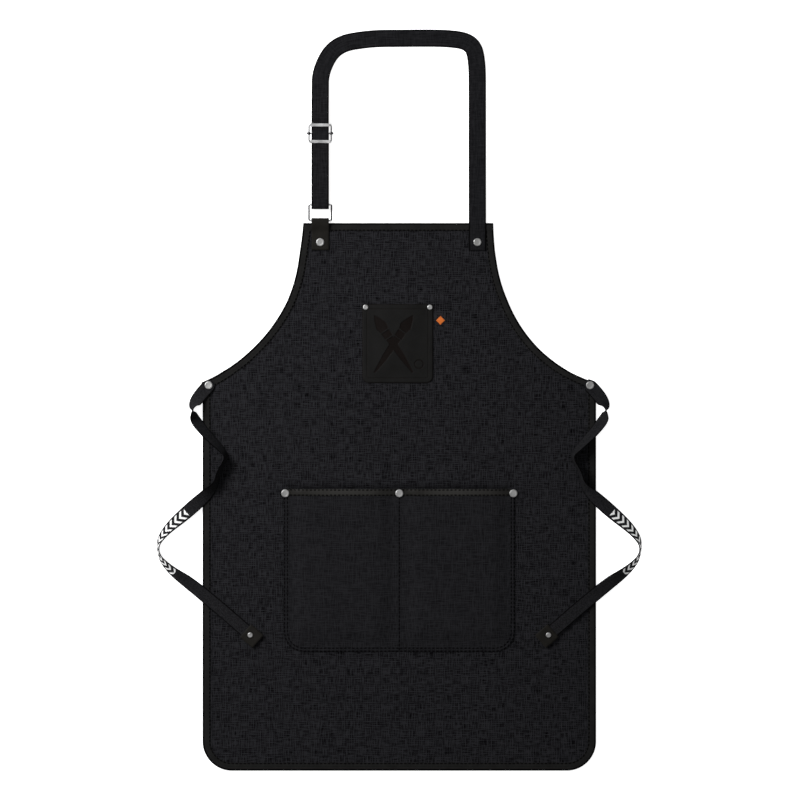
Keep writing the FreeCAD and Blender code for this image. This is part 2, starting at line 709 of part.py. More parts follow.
def stations_of(route, radii, widest_step):
    """Points along straight runs joined by tangent arcs: each is (place, direction, lean in degrees).

    `route` is a list of (x, y, z, lean); the lean changes evenly between the middles of the bends."""
    places = [Vector(*point[:3]) for point in route]
    stops = [(0.0, route[0][3])]
    marks = [(places[0], (places[1] - places[0]).normalize())]
    for index in range(1, len(places) - 1):
        arriving = (places[index] - places[index - 1]).normalize()
        leaving = (places[index + 1] - places[index]).normalize()
        turn = arriving.getAngle(leaving)
        back = radii[index - 1] * math.tan(turn / 2)
        axis = arriving.cross(leaving).normalize()
        start = places[index] - arriving * back
        outward = axis.cross(arriving) * -1
        centre = start - outward * radii[index - 1]
        steps = 2 * max(1, math.ceil(radii[index - 1] * turn / (2 * widest_step)))
        for step in range(steps + 1):
            spin = FreeCAD.Rotation(axis, math.degrees(turn * step / steps))
            marks.append((centre + spin.multVec(outward * radii[index - 1]), spin.multVec(arriving)))
            if step == steps // 2:
                stops.append((len(marks) - 1, route[index][3]))
    marks.append((places[-1], (places[-1] - places[-2]).normalize()))
    stops.append((len(marks) - 1, route[-1][3]))
    travel = [0.0]
    for before, after in zip(marks, marks[1:]):
        travel.append(travel[-1] + (after[0] - before[0]).Length)
    filled = []
    for (first, first_lean), (last, last_lean) in zip(stops, stops[1:]):
        first, last = int(first), int(last)
        for index in range(first, last):
            here, there = travel[index], travel[index + 1]
            pieces = max(1, math.ceil((there - here) / widest_step))
            straight = pieces > 1
            for piece in range(pieces if straight else 1):
                share = piece / pieces
                along = here + (there - here) * share
                lean = first_lean + (last_lean - first_lean) * (along - travel[first]) / (
                    travel[last] - travel[first])
                place = marks[index][0] + (marks[index + 1][0] - marks[index][0]) * share
                filled.append((place, marks[index][1], lean))
    filled.append((marks[-1][0], marks[-1][1], route[-1][3]))
    return filled, travel[-1]


def webbing_shape(stations, width, thick):
    """Closed solid of a flat band: the same rectangle at each station, joined by straight-sided walls."""
    sections = []
    across = Vector(0, 0, 1).cross(stations[0][1]).normalize()
    for place, direction, lean in stations:
        level = Vector(0, 0, 1).cross(direction)
        if level.Length > 0.2:
            across = level.normalize() * (1 if level.dot(across) > 0 else -1)
        upward = direction.cross(across).normalize()
        angle = math.radians(lean)
        wide = across * math.cos(angle) + upward * math.sin(angle)
        deep = direction.cross(wide).normalize()
        corners = [place + wide * (width / 2 * a) + deep * (thick / 2 * b)
                   for a, b in ((-1, -1), (1, -1), (1, 1), (-1, 1))]
        sections.append(Part.makePolygon(corners + corners[:1]))
    return Part.makeLoft(sections, True, True)


def webbing(name, route, radii, width, thick):
    """Piece of webbing as a plain solid; its volume is compared with section times length."""
    stations, length = stations_of(route, radii, WEBBING_STEP)
    shape = webbing_shape(stations, width, thick)
    piece = doc.addObject("Part::Feature", name)
    piece.Label = name
    piece.Shape = shape
    print("%s: length %.1f, bend radii %s, volume %.0f against %.0f"
          % (name, length, ["%.1f" % radius for radius in radii], shape.Volume, width * thick * length))
    return piece


def easy_radii(route):
    """Bend radius at each inner point: the bend takes up the same share of the shorter run everywhere."""
    places = [Vector(*point[:3]) for point in route]
    radii = []
    for before, here, after in zip(places, places[1:], places[2:]):
        half = (here - before).getAngle(after - here) / 2
        radii.append(BEND_SHARE * min((here - before).Length, (after - here).Length) / math.tan(half))
    return radii


def neck_strap():
    """The long run: round the ring's high bar, up through the slider, across behind the neck and down."""
    left, right, top = SIZES["strap_left"], SIZES["strap_right"], SIZES["strap_middle_up"]
    half = SIZES["strap_thick"] / 2
    low = SIZES["hardware_up"] - SIZES["bend_radius"] - half
    high = SIZES["hardware_up"] + SIZES["bend_radius"] + half
    turn_back = SIZES["ring_high"] - SIZES["bend_radius"] - half
    bib_level = 3 * SIZES["cloth"] + half
    travel_end, descent, fold = SIZES["slider_travel_end"], SIZES["strap_descent"], SIZES["fold_high"]
    route = [
        (left, SIZES["return_start"], low, 0),
        (left, turn_back, low, 0),
        (left, turn_back, high, 0),
        (left, travel_end, high, 0),
        (left, travel_end + descent, half, 0),
        (left, top, half, 0),
        (right, top, half, 0),
        (right, fold + 2 * descent, half, 0),
        (right, fold + descent, bib_level, 0),
        (right, fold, bib_level, 0),
    ]
    tight, easy = SIZES["strap_loop_turn"], SIZES["strap_easy_turn"]
    left_corner, right_corner = SIZES["strap_left_corner"], SIZES["strap_right_corner"]
    radii = [tight, tight, easy, easy, left_corner, right_corner, easy, easy]
    return webbing("neck_strap", route, radii, SIZES["strap_width"], SIZES["strap_thick"])


def strap_return():
    """The short run back from the ring: its end is sewn into a loop round the slider's centre bar."""
    left = SIZES["strap_left"]
    half = SIZES["strap_thick"] / 2
    low = SIZES["hardware_up"] - SIZES["bend_radius"] - half
    high = 2 * SIZES["centre_bar_up"] - low
    turn_back = SIZES["slider_up"] + (high - low) / 2
    sewn = turn_back - SIZES["return_sewn"]
    lapped = low + SIZES["strap_thick"] + SIZES["return_gap"]
    route = [
        (left, SIZES["return_start"], low, 0),
        (left, turn_back, low, 0),
        (left, turn_back, high, 0),
        (left, sewn, high, 0),
        (left, sewn - SIZES["return_slope"], lapped, 0),
        (left, sewn - SIZES["return_lap"], lapped, 0),
    ]
    turn, crease = SIZES["return_loop_turn"], SIZES["return_crease"]
    return webbing("strap_return", route, [turn, turn, crease, crease],
                   SIZES["strap_width"], SIZES["strap_thick"])


# The left tie from its riveted end to the end inside its tab.  Lean 0 is face up, 90 on edge, 180 face down.
LEFT_TIE_ROUTE = [
    (-279.8, 27.8, 3.2, 0),
    (-297.5, 10.9, 3.2, 0),
    (-311.7, -12.4, 12.0, 90),
    (-298.2, -42.4, 6.5, 175),
    (-268.2, -76.1, 9.0, 195),
    (-272.7, -112.9, 9.5, 215),
    (-314.0, -163.9, 4.0, 185),
    (-354.5, -199.1, 8.6, 230),
    (-363.5, -224.6, 11.0, 265),
    (-348.5, -251.6, 9.8, 240),
    (-299.9, -287.6, 5.0, 180),
    (-218.0, -356.0, 5.0, 180),
]


def tie_left():
    """Free webbing tie, pinned by the waist rivet, so it has a hole at each end for a rivet's post."""
    shape = webbing("tie_left_plain", LEFT_TIE_ROUTE, easy_radii(LEFT_TIE_ROUTE),
                    SIZES["tie_width"], SIZES["tie_thick"])
    waist = rod("tie_waist_hole", "post_radius + rivet_play",
                ("-waist_rivet_across", "waist_rivet_up", "0 * cloth"),
                ("-waist_rivet_across", "waist_rivet_up", "4 * tie_rest"))
    end = doc.addObject("Part::Cylinder", "tie_end_hole")
    bind(end, "Radius", "small_post_radius")
    bind(end, "Height", "4 * tie_rest")
    end.Placement = FreeCAD.Placement(tab_rivet_place(), FreeCAD.Rotation())
    whole = doc.addObject("Part::Cut", "tie_left")
    whole.Base = shape
    whole.Tool = fuse("tie_holes", [waist, end])
    whole.Label = "tie_left"
    return whole


def last_run():
    """The tie's end seen from above, and the way that its last run points."""
    begin = Vector(*LEFT_TIE_ROUTE[-2][:2], 0)
    finish = Vector(*LEFT_TIE_ROUTE[-1][:2], 0)
    return finish, (finish - begin).normalize()


def tab_rivet_place():
    finish, along = last_run()
    return finish - along * SIZES["tab_rivet_back"]


def tie_end_tab():
    """Square leather tab folded over the tie's end, in line with the tie."""
    finish, along = last_run()
    turn = FreeCAD.Rotation(Vector(1, 0, 0), along)
    place = finish + along * SIZES["tab_overhang"]
    outer = doc.addObject("Part::Box", "tie_tab_leather")
    bind(outer, "Length", "tab_side")
    bind(outer, "Width", "tab_side")
    bind(outer, "Height", "tie_thick + 2 * tab_layer")
    bottom = SIZES["tie_end_up"] - SIZES["tie_thick"] / 2 - SIZES["tab_layer"]
    outer.Placement = FreeCAD.Placement(
        place + turn.multVec(Vector(-SIZES["tab_side"], -SIZES["tab_side"] / 2, bottom)), turn)
    slot = doc.addObject("Part::Box", "tie_tab_slot")
    bind(slot, "Length", "tab_side")
    bind(slot, "Width", "tie_width")
    bind(slot, "Height", "tie_thick")
    slot.Placement = FreeCAD.Placement(
        finish + turn.multVec(Vector(-SIZES["tab_side"], -SIZES["tie_width"] / 2,
                                     bottom + SIZES["tab_layer"])), turn)
    hole = doc.addObject("Part::Cylinder", "tie_tab_hole")
    bind(hole, "Radius", "small_post_radius")
    bind(hole, "Height", "4 * tie_rest")
    hole.Placement = FreeCAD.Placement(tab_rivet_place(), FreeCAD.Rotation())
    whole = doc.addObject("Part::Cut", "tie_end_tab_left")
    whole.Base = outer
    whole.Tool = fuse("tie_tab_voids", [slot, hole])
    whole.Label = "tie_end_tab_left"
    return whole


def tie_end_rivet():
    body = new_body("tie_end_rivet_left")
    place = tab_rivet_place()
    low = "tie_end_up - tie_thick / 2 - tab_layer - cloth"
    seat = "tie_end_up + tie_thick / 2 + tab_layer"
    turn_rivet(body, "tie_end_rivet_section", "0", "0", low, seat, "small_post_radius",
               "small_rear_cap_radius", "small_cap_radius", "small_cap_height")
    body.Placement = FreeCAD.Placement(place, FreeCAD.Rotation())
    return body


# ---------------------------------------------------------------- whole apron

def build():
    top_band()
    skirt_band()
    body_panel()
    left_band = armhole_band_left()
    mirrored_part(left_band, "armhole_band_right")
    lower_pocket()
    pocket_top_band()
    chest_pocket()
    accent_mark()
    rivets()
    strap_tab()
    neck_strap_end()
    neck_strap_fold()
    ring()
    slider_frame()
    slider_bar()
    neck_strap()
    strap_return()
    tie = tie_left()
    tab = tie_end_tab()
    rivet = tie_end_rivet()
    doc.recompute()
    mirrored_part(tie, "tie_right")
    mirrored_part(tab, "tie_end_tab_right")
    mirrored_part(rivet, "tie_end_rivet_right")
    doc.recompute()


NODES = [
    "body_panel", "top_band", "armhole_band_left", "armhole_band_right", "skirt_band",
    "lower_pocket", "pocket_top_band", "chest_pocket", "accent_mark",
    "bib_rivets", "waist_rivets", "pocket_rivets", "chest_rivets",
    "strap_tab", "neck_strap_end", "neck_strap_fold", "neck_strap", "strap_return",
    "ring", "slider_frame", "slider_bar",
    "tie_left", "tie_end_tab_left", "tie_end_rivet_left",
    "tie_right", "tie_end_tab_right", "tie_end_rivet_right",
]


def export():
    """Stop at the first bad object, then write one file for each sub-part."""
    for thing in doc.Objects:
        if "Invalid" in thing.State or "Error" in thing.State:
            raise RuntimeError("%s did not build: %s" % (thing.Name, thing.State))
    os.makedirs("parts", exist_ok=True)
    for name in NODES:
        shape = doc.getObjectsByLabel(name)[0].Shape
        if shape.isNull() or not shape.isValid():
            raise RuntimeError("%s has no valid shape" % name)
        shape.exportStep("parts/%s.step" % name)
        box = shape.BoundBox
        print("%-22s solids %d  volume %9.0f  x %.1f..%.1f  y %.1f..%.1f  z %.1f..%.1f"
              % (name, len(shape.Solids), shape.Volume, box.XMin, box.XMax, box.YMin, box.YMax,
                 box.ZMin, box.ZMax))


build()
export()
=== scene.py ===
import math
import bmesh
import bpy
import numpy as np
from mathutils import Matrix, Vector


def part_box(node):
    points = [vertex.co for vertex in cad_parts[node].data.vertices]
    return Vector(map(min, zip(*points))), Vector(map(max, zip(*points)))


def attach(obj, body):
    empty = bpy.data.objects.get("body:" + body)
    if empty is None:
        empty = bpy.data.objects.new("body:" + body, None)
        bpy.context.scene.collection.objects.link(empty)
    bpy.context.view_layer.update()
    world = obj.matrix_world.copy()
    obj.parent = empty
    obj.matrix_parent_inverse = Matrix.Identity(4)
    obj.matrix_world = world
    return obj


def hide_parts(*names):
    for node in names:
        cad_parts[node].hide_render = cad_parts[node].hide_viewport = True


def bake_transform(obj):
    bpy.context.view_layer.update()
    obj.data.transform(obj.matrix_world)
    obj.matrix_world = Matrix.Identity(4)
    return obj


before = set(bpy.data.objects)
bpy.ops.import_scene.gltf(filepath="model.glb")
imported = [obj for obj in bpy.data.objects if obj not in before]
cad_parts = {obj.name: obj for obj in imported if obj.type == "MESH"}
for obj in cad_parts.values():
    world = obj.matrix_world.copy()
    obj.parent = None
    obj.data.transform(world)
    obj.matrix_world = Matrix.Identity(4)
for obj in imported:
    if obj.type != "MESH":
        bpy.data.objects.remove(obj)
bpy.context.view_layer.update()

# A bib apron laid flat on its back.  Metres, in the CAD's own frame: +X right, +Y to the neck, +Z up.

MM = 0.001
random = np.random.default_rng(7)


def mm(*values):
    """Millimetres to metres, for one value or several."""
    scaled = [value * MM for value in values]
    return scaled[0] if len(scaled) == 1 else scaled


# ---------------------------------------------------------------- camera, lights and floor

CAMERA_HEIGHT = 4.0
VIEW_WIDTH = 1.2
SENSOR = 36.0
VIEW_MIDDLE = (0.0010, 0.0004)
WORLD_LOW = 0.08
WORLD_HIGH = 0.25
FLOOR_HALF = 60.0
FLOOR_UP = -0.0004
FLOOR_GLOW = 0.85


def add_camera():
    camera = bpy.data.cameras.new("camera")
    camera.sensor_width = SENSOR
    camera.lens = SENSOR * CAMERA_HEIGHT / VIEW_WIDTH
    placed = bpy.data.objects.new("camera", camera)
    placed.location = (VIEW_MIDDLE[0], VIEW_MIDDLE[1], CAMERA_HEIGHT)
    bpy.context.scene.collection.objects.link(placed)
    bpy.context.scene.camera = placed


def add_area_light(name, place, size, power):
    lamp = bpy.data.lights.new(name, "AREA")
    lamp.size = size
    lamp.energy = power
    placed = bpy.data.objects.new(name, lamp)
    placed.location = place
    placed.rotation_euler = (-Vector(place)).to_track_quat("-Z", "Y").to_euler()
    bpy.context.scene.collection.objects.link(placed)


def add_world():
    """A plain studio sky: bright overhead and dimmer round the horizon."""
    world = bpy.data.worlds.new("studio")
    world.use_nodes = True
    tree = world.node_tree
    direction = tree.nodes.new("ShaderNodeTexCoord")
    height = tree.nodes.new("ShaderNodeSeparateXYZ")
    ramp = tree.nodes.new("ShaderNodeMapRange")
    for key, value in (("From Min", 0.05), ("From Max", 0.75), ("To Min", WORLD_LOW), ("To Max", WORLD_HIGH)):
        ramp.inputs[key].default_value = value
    tree.links.new(direction.outputs["Generated"], height.inputs["Vector"])
    tree.links.new(height.outputs["Z"], ramp.inputs["Value"])
    tree.links.new(ramp.outputs["Result"], tree.nodes["Background"].inputs["Strength"])
    tree.nodes["Background"].inputs["Color"].default_value = (1.0, 1.0, 1.0, 1.0)
    bpy.context.scene.world = world


def add_floor():
    """A plain pale floor just under the apron, lit evenly so that it stays white."""
    low, high, up = -FLOOR_HALF, FLOOR_HALF, FLOOR_UP
    mesh = bpy.data.meshes.new("floor")
    mesh.from_pydata([(low, low, up), (high, low, up), (high, high, up), (low, high, up)], [], [(0, 1, 2, 3)])
    floor = bpy.data.objects.new("floor", mesh)
    bpy.context.scene.collection.objects.link(floor)
    pale = bpy.data.materials.new("pale_floor")
    pale.use_nodes = True
    looks = {"Base Color": (0.88, 0.88, 0.88, 1.0), "Roughness": 0.9, "Specular IOR Level": 0.0,
             "Emission Color": (1.0, 1.0, 1.0, 1.0), "Emission Strength": FLOOR_GLOW}
    for key, value in looks.items():
        pale.node_tree.nodes["Principled BSDF"].inputs[key].default_value = value
    mesh.materials.append(pale)


add_camera()
add_world()
add_area_light("key_light", (-1.5, 0.9, 1.5), 0.9, 56.0)
add_area_light("fill_light", (1.8, -1.4, 2.8), 2.4, 6.0)
add_floor()
bpy.context.scene.view_settings.view_transform = "Standard"


# ---------------------------------------------------------------- materials

# The colour sockets of Blender's mix node, which has one pair of inputs for every kind of value.
FIRST_COLOUR, SECOND_COLOUR, MIXED_COLOUR = 6, 7, 2

# Near black: the ties' edges, and painted shade on the strap's and the bands' folded edges, in the bands'
# stitched furrow and on the cloth.
BLACK_EDGE_AND_SHADE = (0.0016, 0.0016, 0.0017)
# Dark brown of the pressed leather, also used as painted shade along the chest pocket's edge.
STAMP_AND_SHADE = (0.0048, 0.0030, 0.0025)
PRINT_WHITE = (0.86, 0.86, 0.86)
SCRATCHES = (3000.0, 260.0, 900.0)
DULL = dict(Roughness=0.95, Specular_IOR_Level=0.03)
# Stretches of a noise's values that are spread over a whole range.
MOST = (0.3, 0.7)
UPPER_HALF = (0.35, 0.68)
STRAP_WIDTH = mm(26.0)
TIE_WIDTH = mm(20.0)
RIVET_SPACING = mm(171.0)
BAND = mm(12.0)
STITCH_INSET = mm(10.8)


class Nodes:
    """A material's node tree, with short calls for the nodes that every material here uses."""

    def __init__(self, name, **values):
        self.material = bpy.data.materials.new(name)
        self.material.use_nodes = True
        self.tree = self.material.node_tree
        self.shader = self.tree.nodes["Principled BSDF"]
        for key, value in values.items():
            self.shader.inputs[key.replace("_", " ")].default_value = value

    def add(self, kind, **settings):
        node = self.tree.nodes.new(kind)
        for key, value in settings.items():
            setattr(node, key, value)
        return node

    def link(self, start, end):
        self.tree.links.new(start, end)

    def scaled(self, coordinates, scale):
        mapping = self.add("ShaderNodeMapping")
        mapping.inputs["Scale"].default_value = scale
        self.link(coordinates, mapping.inputs["Vector"])
        return mapping.outputs["Vector"]

    def place(self, scale=(1.0, 1.0, 1.0)):
        """Coordinates of the piece in metres, multiplied by `scale`."""
        return self.scaled(self.add("ShaderNodeTexCoord").outputs["Object"], scale)

    def noise_at(self, places, detail, roughness=0.5):
        texture = self.add("ShaderNodeTexNoise")
        for key, value in (("Scale", 1.0), ("Detail", detail), ("Roughness", roughness)):
            texture.inputs[key].default_value = value
        self.link(places, texture.inputs["Vector"])
        return texture.outputs["Fac"]

    def noise(self, scale, detail=2.0, roughness=0.5):
        """Smooth noise; `scale` is how many lumps there are to a metre, for each axis or for all three."""
        lumps = scale if isinstance(scale, tuple) else (scale, scale, scale)
        return self.noise_at(self.place(lumps), detail, roughness)

    def band_noise(self, across, along):
        """Noise on a ribbon's own map: lumps to a metre across it and along it."""
        own_map = self.add("ShaderNodeUVMap", uv_map="webbing").outputs["UV"]
        return self.noise_at(self.scaled(own_map, (across, along, 1.0)), 1.0)

    def stored(self, name):
        """A value that the piece's mesh holds at every point."""
        return self.add("ShaderNodeAttribute", attribute_name=name).outputs["Fac"]

    def threads(self, direction, pitch):
        """Even ridges across one axis, `pitch` metres apart."""
        texture = self.add("ShaderNodeTexWave", wave_type="BANDS", bands_direction=direction)
        texture.inputs["Scale"].default_value = math.pi / (10.0 * pitch)
        texture.inputs["Distortion"].default_value = 0.0
        self.link(self.place(), texture.inputs["Vector"])
        return texture.outputs["Fac"]

    def cells(self, per_metre):
        texture = self.add("ShaderNodeTexVoronoi", feature="F1")
        texture.inputs["Scale"].default_value = per_metre
        self.link(self.place(), texture.inputs["Vector"])
        return texture.outputs["Distance"]

    def maths(self, operation, first, second):
        node = self.add("ShaderNodeMath", operation=operation)
        for socket, value in zip(node.inputs, (first, second)):
            if isinstance(value, (int, float)):
                socket.default_value = value
            else:
                self.link(value, socket)
        return node.outputs["Value"]

    def plus(self, first, second):
        return self.maths("ADD", first, second)

    def times(self, first, second):
        return self.maths("MULTIPLY", first, second)

    def size(self, value):
        return self.maths("ABSOLUTE", value, 0.0)

    def spread(self, value, low, high, to_low=0.0, to_high=1.0):
        """The value's stretch from low to high, spread over a new range and held inside it."""
        node = self.add("ShaderNodeMapRange")
        for key, number in (("From Min", low), ("From Max", high), ("To Min", to_low), ("To Max", to_high)):
            node.inputs[key].default_value = number
        self.link(value, node.inputs["Value"])
        return node.outputs["Result"]

    def blend(self, factor, first, second):
        """Colour between two colours, each a tuple or another node's output."""
        node = self.add("ShaderNodeMix", data_type="RGBA")
        self.link(factor, node.inputs["Factor"])
        for index, colour in ((FIRST_COLOUR, first), (SECOND_COLOUR, second)):
            if isinstance(colour, tuple):
                node.inputs[index].default_value = (*colour, 1.0)
            else:
                self.link(colour, node.inputs[index])
        return node.outputs[MIXED_COLOUR]

    def colour(self, value):
        self.link(value, self.shader.inputs["Base Color"])

    def rough(self, value):
        self.link(value, self.shader.inputs["Roughness"])

    def bump(self, height, distance, strength=1.0):
        node = self.add("ShaderNodeBump")
        node.inputs["Distance"].default_value = distance
        node.inputs["Strength"].default_value = strength
        self.link(height, node.inputs["Height"])
        self.link(node.outputs["Normal"], self.shader.inputs["Normal"])


def slub_cloth(name, dark, light, contrast, depth):
    """Charcoal cloth woven from uneven yarn: light streaks along both sets of threads.

    `contrast` sets the streaks apart and `depth` darkens what lies between them. The cloth is also
    painted with shade, blended towards near black, wherever its piece stores a shade value above nought.
    """
    nodes = Nodes(name, **DULL)
    weft = nodes.spread(nodes.noise((75.0, 980.0, 60.0), 0.0), *MOST)
    warp = nodes.spread(nodes.noise((920.0, 75.0, 60.0), 0.0), *MOST)
    crossing, streaky, regular = 0.35, 0.52, 0.30
    streaks = nodes.plus(nodes.maths("MAXIMUM", weft, warp), nodes.times(nodes.plus(weft, warp), crossing))
    even = nodes.maths("MAXIMUM", nodes.threads("X", mm(3.5)), nodes.threads("Y", mm(3.2)))
    yarn = nodes.plus(nodes.times(streaks, streaky), nodes.times(even, regular))
    yarn = nodes.maths("SUBTRACT", nodes.times(yarn, contrast), depth)
    fine, patches = nodes.noise((1100.0, 900.0, 400.0), 1.0), nodes.noise(26.0, 3.0, 0.6)
    for noise, change in ((fine, 0.16), (patches, 0.03)):
        yarn = nodes.plus(yarn, nodes.spread(noise, *MOST, -change, change))
    # Painted shade: the piece's stored shade value blends the cloth towards near black.
    nodes.colour(nodes.blend(nodes.stored("pressed_and_shade"), nodes.blend(yarn, dark, light), BLACK_EDGE_AND_SHADE))
    weave = nodes.times(nodes.threads("X", mm(0.9)), nodes.threads("Y", mm(0.8)))
    nodes.bump(nodes.plus(weave, nodes.times(yarn, 1.2)), mm(0.22), 0.8)
    return nodes.material


def edge_stripe(nodes, across, half, width):
    """1 along both edges of a band, 0 between them; `across` runs in metres from the middle."""
    return nodes.spread(nodes.size(across), half - width, half - 0.4 * width)


def band_map(nodes):
    """The map that ribbons and tapes carry: metres across and metres along."""
    coordinates = nodes.add("ShaderNodeUVMap", uv_map="webbing")
    split = nodes.add("ShaderNodeSeparateXYZ")
    nodes.link(coordinates.outputs["UV"], split.inputs["Vector"])
    return split.outputs["X"], split.outputs["Y"]


def ribs_along(nodes, along, pitch):
    """Even ribs that cross a band, `pitch` metres apart."""
    ribs = nodes.add("ShaderNodeMath", operation="SINE")
    nodes.link(nodes.times(along, 2 * math.pi / pitch), ribs.inputs[0])
    return ribs.outputs["Value"]


def fine_webbing(name, dark, light, half):
    """Close, narrow weave with fine ribs across it, for the neck strap, with painted shade: black stripes
    along its folded edges.
    """
    nodes = Nodes(name, **DULL)
    across, along = band_map(nodes)
    grain = nodes.noise(420.0, 3.0, 0.65)
    warp = nodes.spread(nodes.band_noise(600.0, 40.0), *UPPER_HALF, 0.0, 0.55)
    weft = nodes.spread(nodes.band_noise(70.0, 500.0), *UPPER_HALF, 0.0, 0.45)
    tone = nodes.plus(nodes.plus(warp, weft), nodes.spread(grain, *UPPER_HALF, -0.1, 0.2))
    plain = nodes.blend(tone, dark, light)
    # Painted shade: near-black stripes along the strap's folded edges.
    nodes.colour(nodes.blend(edge_stripe(nodes, across, half, mm(2.7)), plain, BLACK_EDGE_AND_SHADE))
    nodes.bump(nodes.plus(nodes.times(ribs_along(nodes, along, mm(1.1)), 0.5), grain), mm(0.16), 0.8)
    return nodes.material


def printed_webbing(name, dark, light, half, print_start, print_end):
    """Tie webbing with plain white chevrons woven into one stretch."""
    nodes = Nodes(name, **DULL)
    across, along = band_map(nodes)
    grain = nodes.noise(600.0, 3.0, 0.65)
    plain = nodes.blend(nodes.spread(grain, *UPPER_HALF), dark, light)
    plain = nodes.blend(edge_stripe(nodes, across, half, mm(1.8)), plain, BLACK_EDGE_AND_SHADE)
    sideways = nodes.size(across)
    slant, white_share = 0.8, 0.42
    pitch, print_half = mm(9.5, 7.4)
    repeat = nodes.maths("DIVIDE", nodes.plus(along, nodes.times(sideways, slant)), pitch)
    chevron = nodes.maths("LESS_THAN", nodes.maths("FRACT", repeat, 0.0), white_share)
    inside = nodes.maths("LESS_THAN", sideways, print_half)
    after = nodes.maths("GREATER_THAN", along, print_start)
    before = nodes.maths("LESS_THAN", along, print_end)
    white = nodes.times(nodes.times(chevron, inside), nodes.times(after, before))
    worn = nodes.times(white, nodes.spread(grain, 0.25, 0.4, 0.86, 1.0))
    nodes.colour(nodes.blend(worn, plain, PRINT_WHITE))
    nodes.bump(nodes.plus(nodes.times(ribs_along(nodes, along, mm(0.9)), 0.5), grain), mm(0.14), 0.8)
    return nodes.material


def leather(name, dark, light, roughness, grain=950.0, depth=0.10, coat=0.0, highlight_pitch=0.0, pressed_and_shade=False):
    """Pebbled leather: small cells, fine pores and a slow change of tone.

    `coat` adds a clear finish. A rivet spacing, where given, paints a highlight midway between the
    rivets, and a stored value darkens it where the surface is stamped in and where shade is painted.
    """
    nodes = Nodes(name, Specular_IOR_Level=0.08, Coat_Weight=coat, Coat_Roughness=0.3)
    pebble = nodes.cells(grain)
    pores = nodes.noise(2200.0)
    tone = nodes.noise(45.0, 4.0, 0.6)
    shade = nodes.plus(nodes.spread(tone, *MOST, 0.0, 0.8), nodes.spread(pebble, 0.1, 0.6, 0.2, 0.0))
    if highlight_pitch:
        # Painted highlight: lighter midway between the rivets, where the bulging band would catch the light.
        painted_highlight = nodes.times(nodes.threads("X", highlight_pitch), 0.85)
        shade = nodes.plus(nodes.times(shade, 0.35), painted_highlight)
    colour = nodes.blend(shade, dark, light)
    # Pressed leather and painted shade: darkened where the piece stores either.
    if pressed_and_shade:
        colour = nodes.blend(nodes.stored("pressed_and_shade"), colour, STAMP_AND_SHADE)
    nodes.colour(colour)
    nodes.rough(nodes.spread(tone, *MOST, roughness - 0.06, roughness + 0.08))
    nodes.bump(nodes.plus(pebble, nodes.times(pores, 0.35)), mm(depth), 0.8)
    return nodes.material


def binding_cloth(name, dark, light):
    """Smooth, close cloth tape of the edge bands, with painted shade: black along its fold and darker in its
    stitched furrow.
    """
    nodes = Nodes(name, **DULL)
    inward, along = band_map(nodes)
    fine = nodes.noise(700.0, 3.0, 0.6)
    slow = nodes.noise(60.0, 3.0)
    tone = nodes.plus(nodes.spread(fine, *MOST, 0.0, 0.55), nodes.spread(slow, *MOST, 0.0, 0.5))
    # Painted shade: black along the tape's rounded fold.
    fold = nodes.spread(inward, mm(2.3), mm(3.1), 1.0, 0.0)
    # Painted shade: darker along the stitched furrow.
    from_stitches = nodes.size(nodes.maths("SUBTRACT", inward, STITCH_INSET))
    painted_furrow_shade = nodes.spread(from_stitches, mm(0.6), mm(1.3), 0.15, 0.0)
    nodes.colour(nodes.blend(nodes.maths("MAXIMUM", fold, painted_furrow_shade), nodes.blend(tone, dark, light), BLACK_EDGE_AND_SHADE))
    nodes.bump(nodes.plus(fine, ribs_along(nodes, along, mm(0.8))), mm(0.08), 0.7)
    return nodes.material


def darker(colour, share):
    return tuple(channel * share for channel in colour)


def wire_metal(name, wire, bar_reflection_colour):
    """Polished wire with painted reflections: a dark colour where it is thin, and a bright, streaked one
    along the frame's flat bars.
    """
    nodes = Nodes(name)
    flat = nodes.stored("flat")
    smear = nodes.noise(90.0, 3.0)
    # Painted reflection: the flat bars get a bright, streaked colour and the thin wire a near-black one.
    painted_bar_reflection = nodes.blend(nodes.spread(smear, 0.35, 0.6), darker(bar_reflection_colour, 0.6), bar_reflection_colour)
    nodes.colour(nodes.blend(flat, wire, painted_bar_reflection))
    nodes.link(nodes.spread(flat, 0.0, 1.0, 1.0, 0.5), nodes.shader.inputs["Metallic"])
    nodes.rough(nodes.spread(smear, *MOST, 0.14, 0.26))
    nodes.bump(nodes.noise(SCRATCHES), mm(0.01), 0.5)
    return nodes.material


def metal(name, colour, roughness, scratch, tarnish, patches):
    """Metal with fine scratches, darkened in patches down to `tarnish` of its colour."""
    nodes = Nodes(name, Metallic=1.0)
    smear = nodes.noise(patches, 3.0)
    nodes.colour(nodes.blend(nodes.spread(smear, 0.38, 0.62), darker(colour, tarnish), colour))
    nodes.rough(nodes.spread(smear, *MOST, roughness, roughness + 0.10))
    nodes.bump(nodes.noise(SCRATCHES), mm(scratch), 0.5)
    return nodes.material


def thread_material(name, colour):
    """Twisted sewing thread."""
    nodes = Nodes(name, Roughness=0.8, Specular_IOR_Level=0.02)
    twist = nodes.noise(2600.0, 1.0)
    lighter = tuple(channel * 2.2 for channel in colour)
    nodes.colour(nodes.blend(nodes.spread(twist, 0.4, 0.7), colour, lighter))
    nodes.bump(twist, mm(0.1), 0.8)
    return nodes.material


def satin_thread(name, colour):
    """Close rows of glossy embroidery thread."""
    nodes = Nodes(name, Roughness=0.45, Specular_IOR_Level=0.3)
    rows = nodes.threads("X", mm(0.5))
    nodes.colour(nodes.blend(rows, darker(colour, 0.6), colour))
    nodes.bump(rows, mm(0.12), 0.8)
    return nodes.material


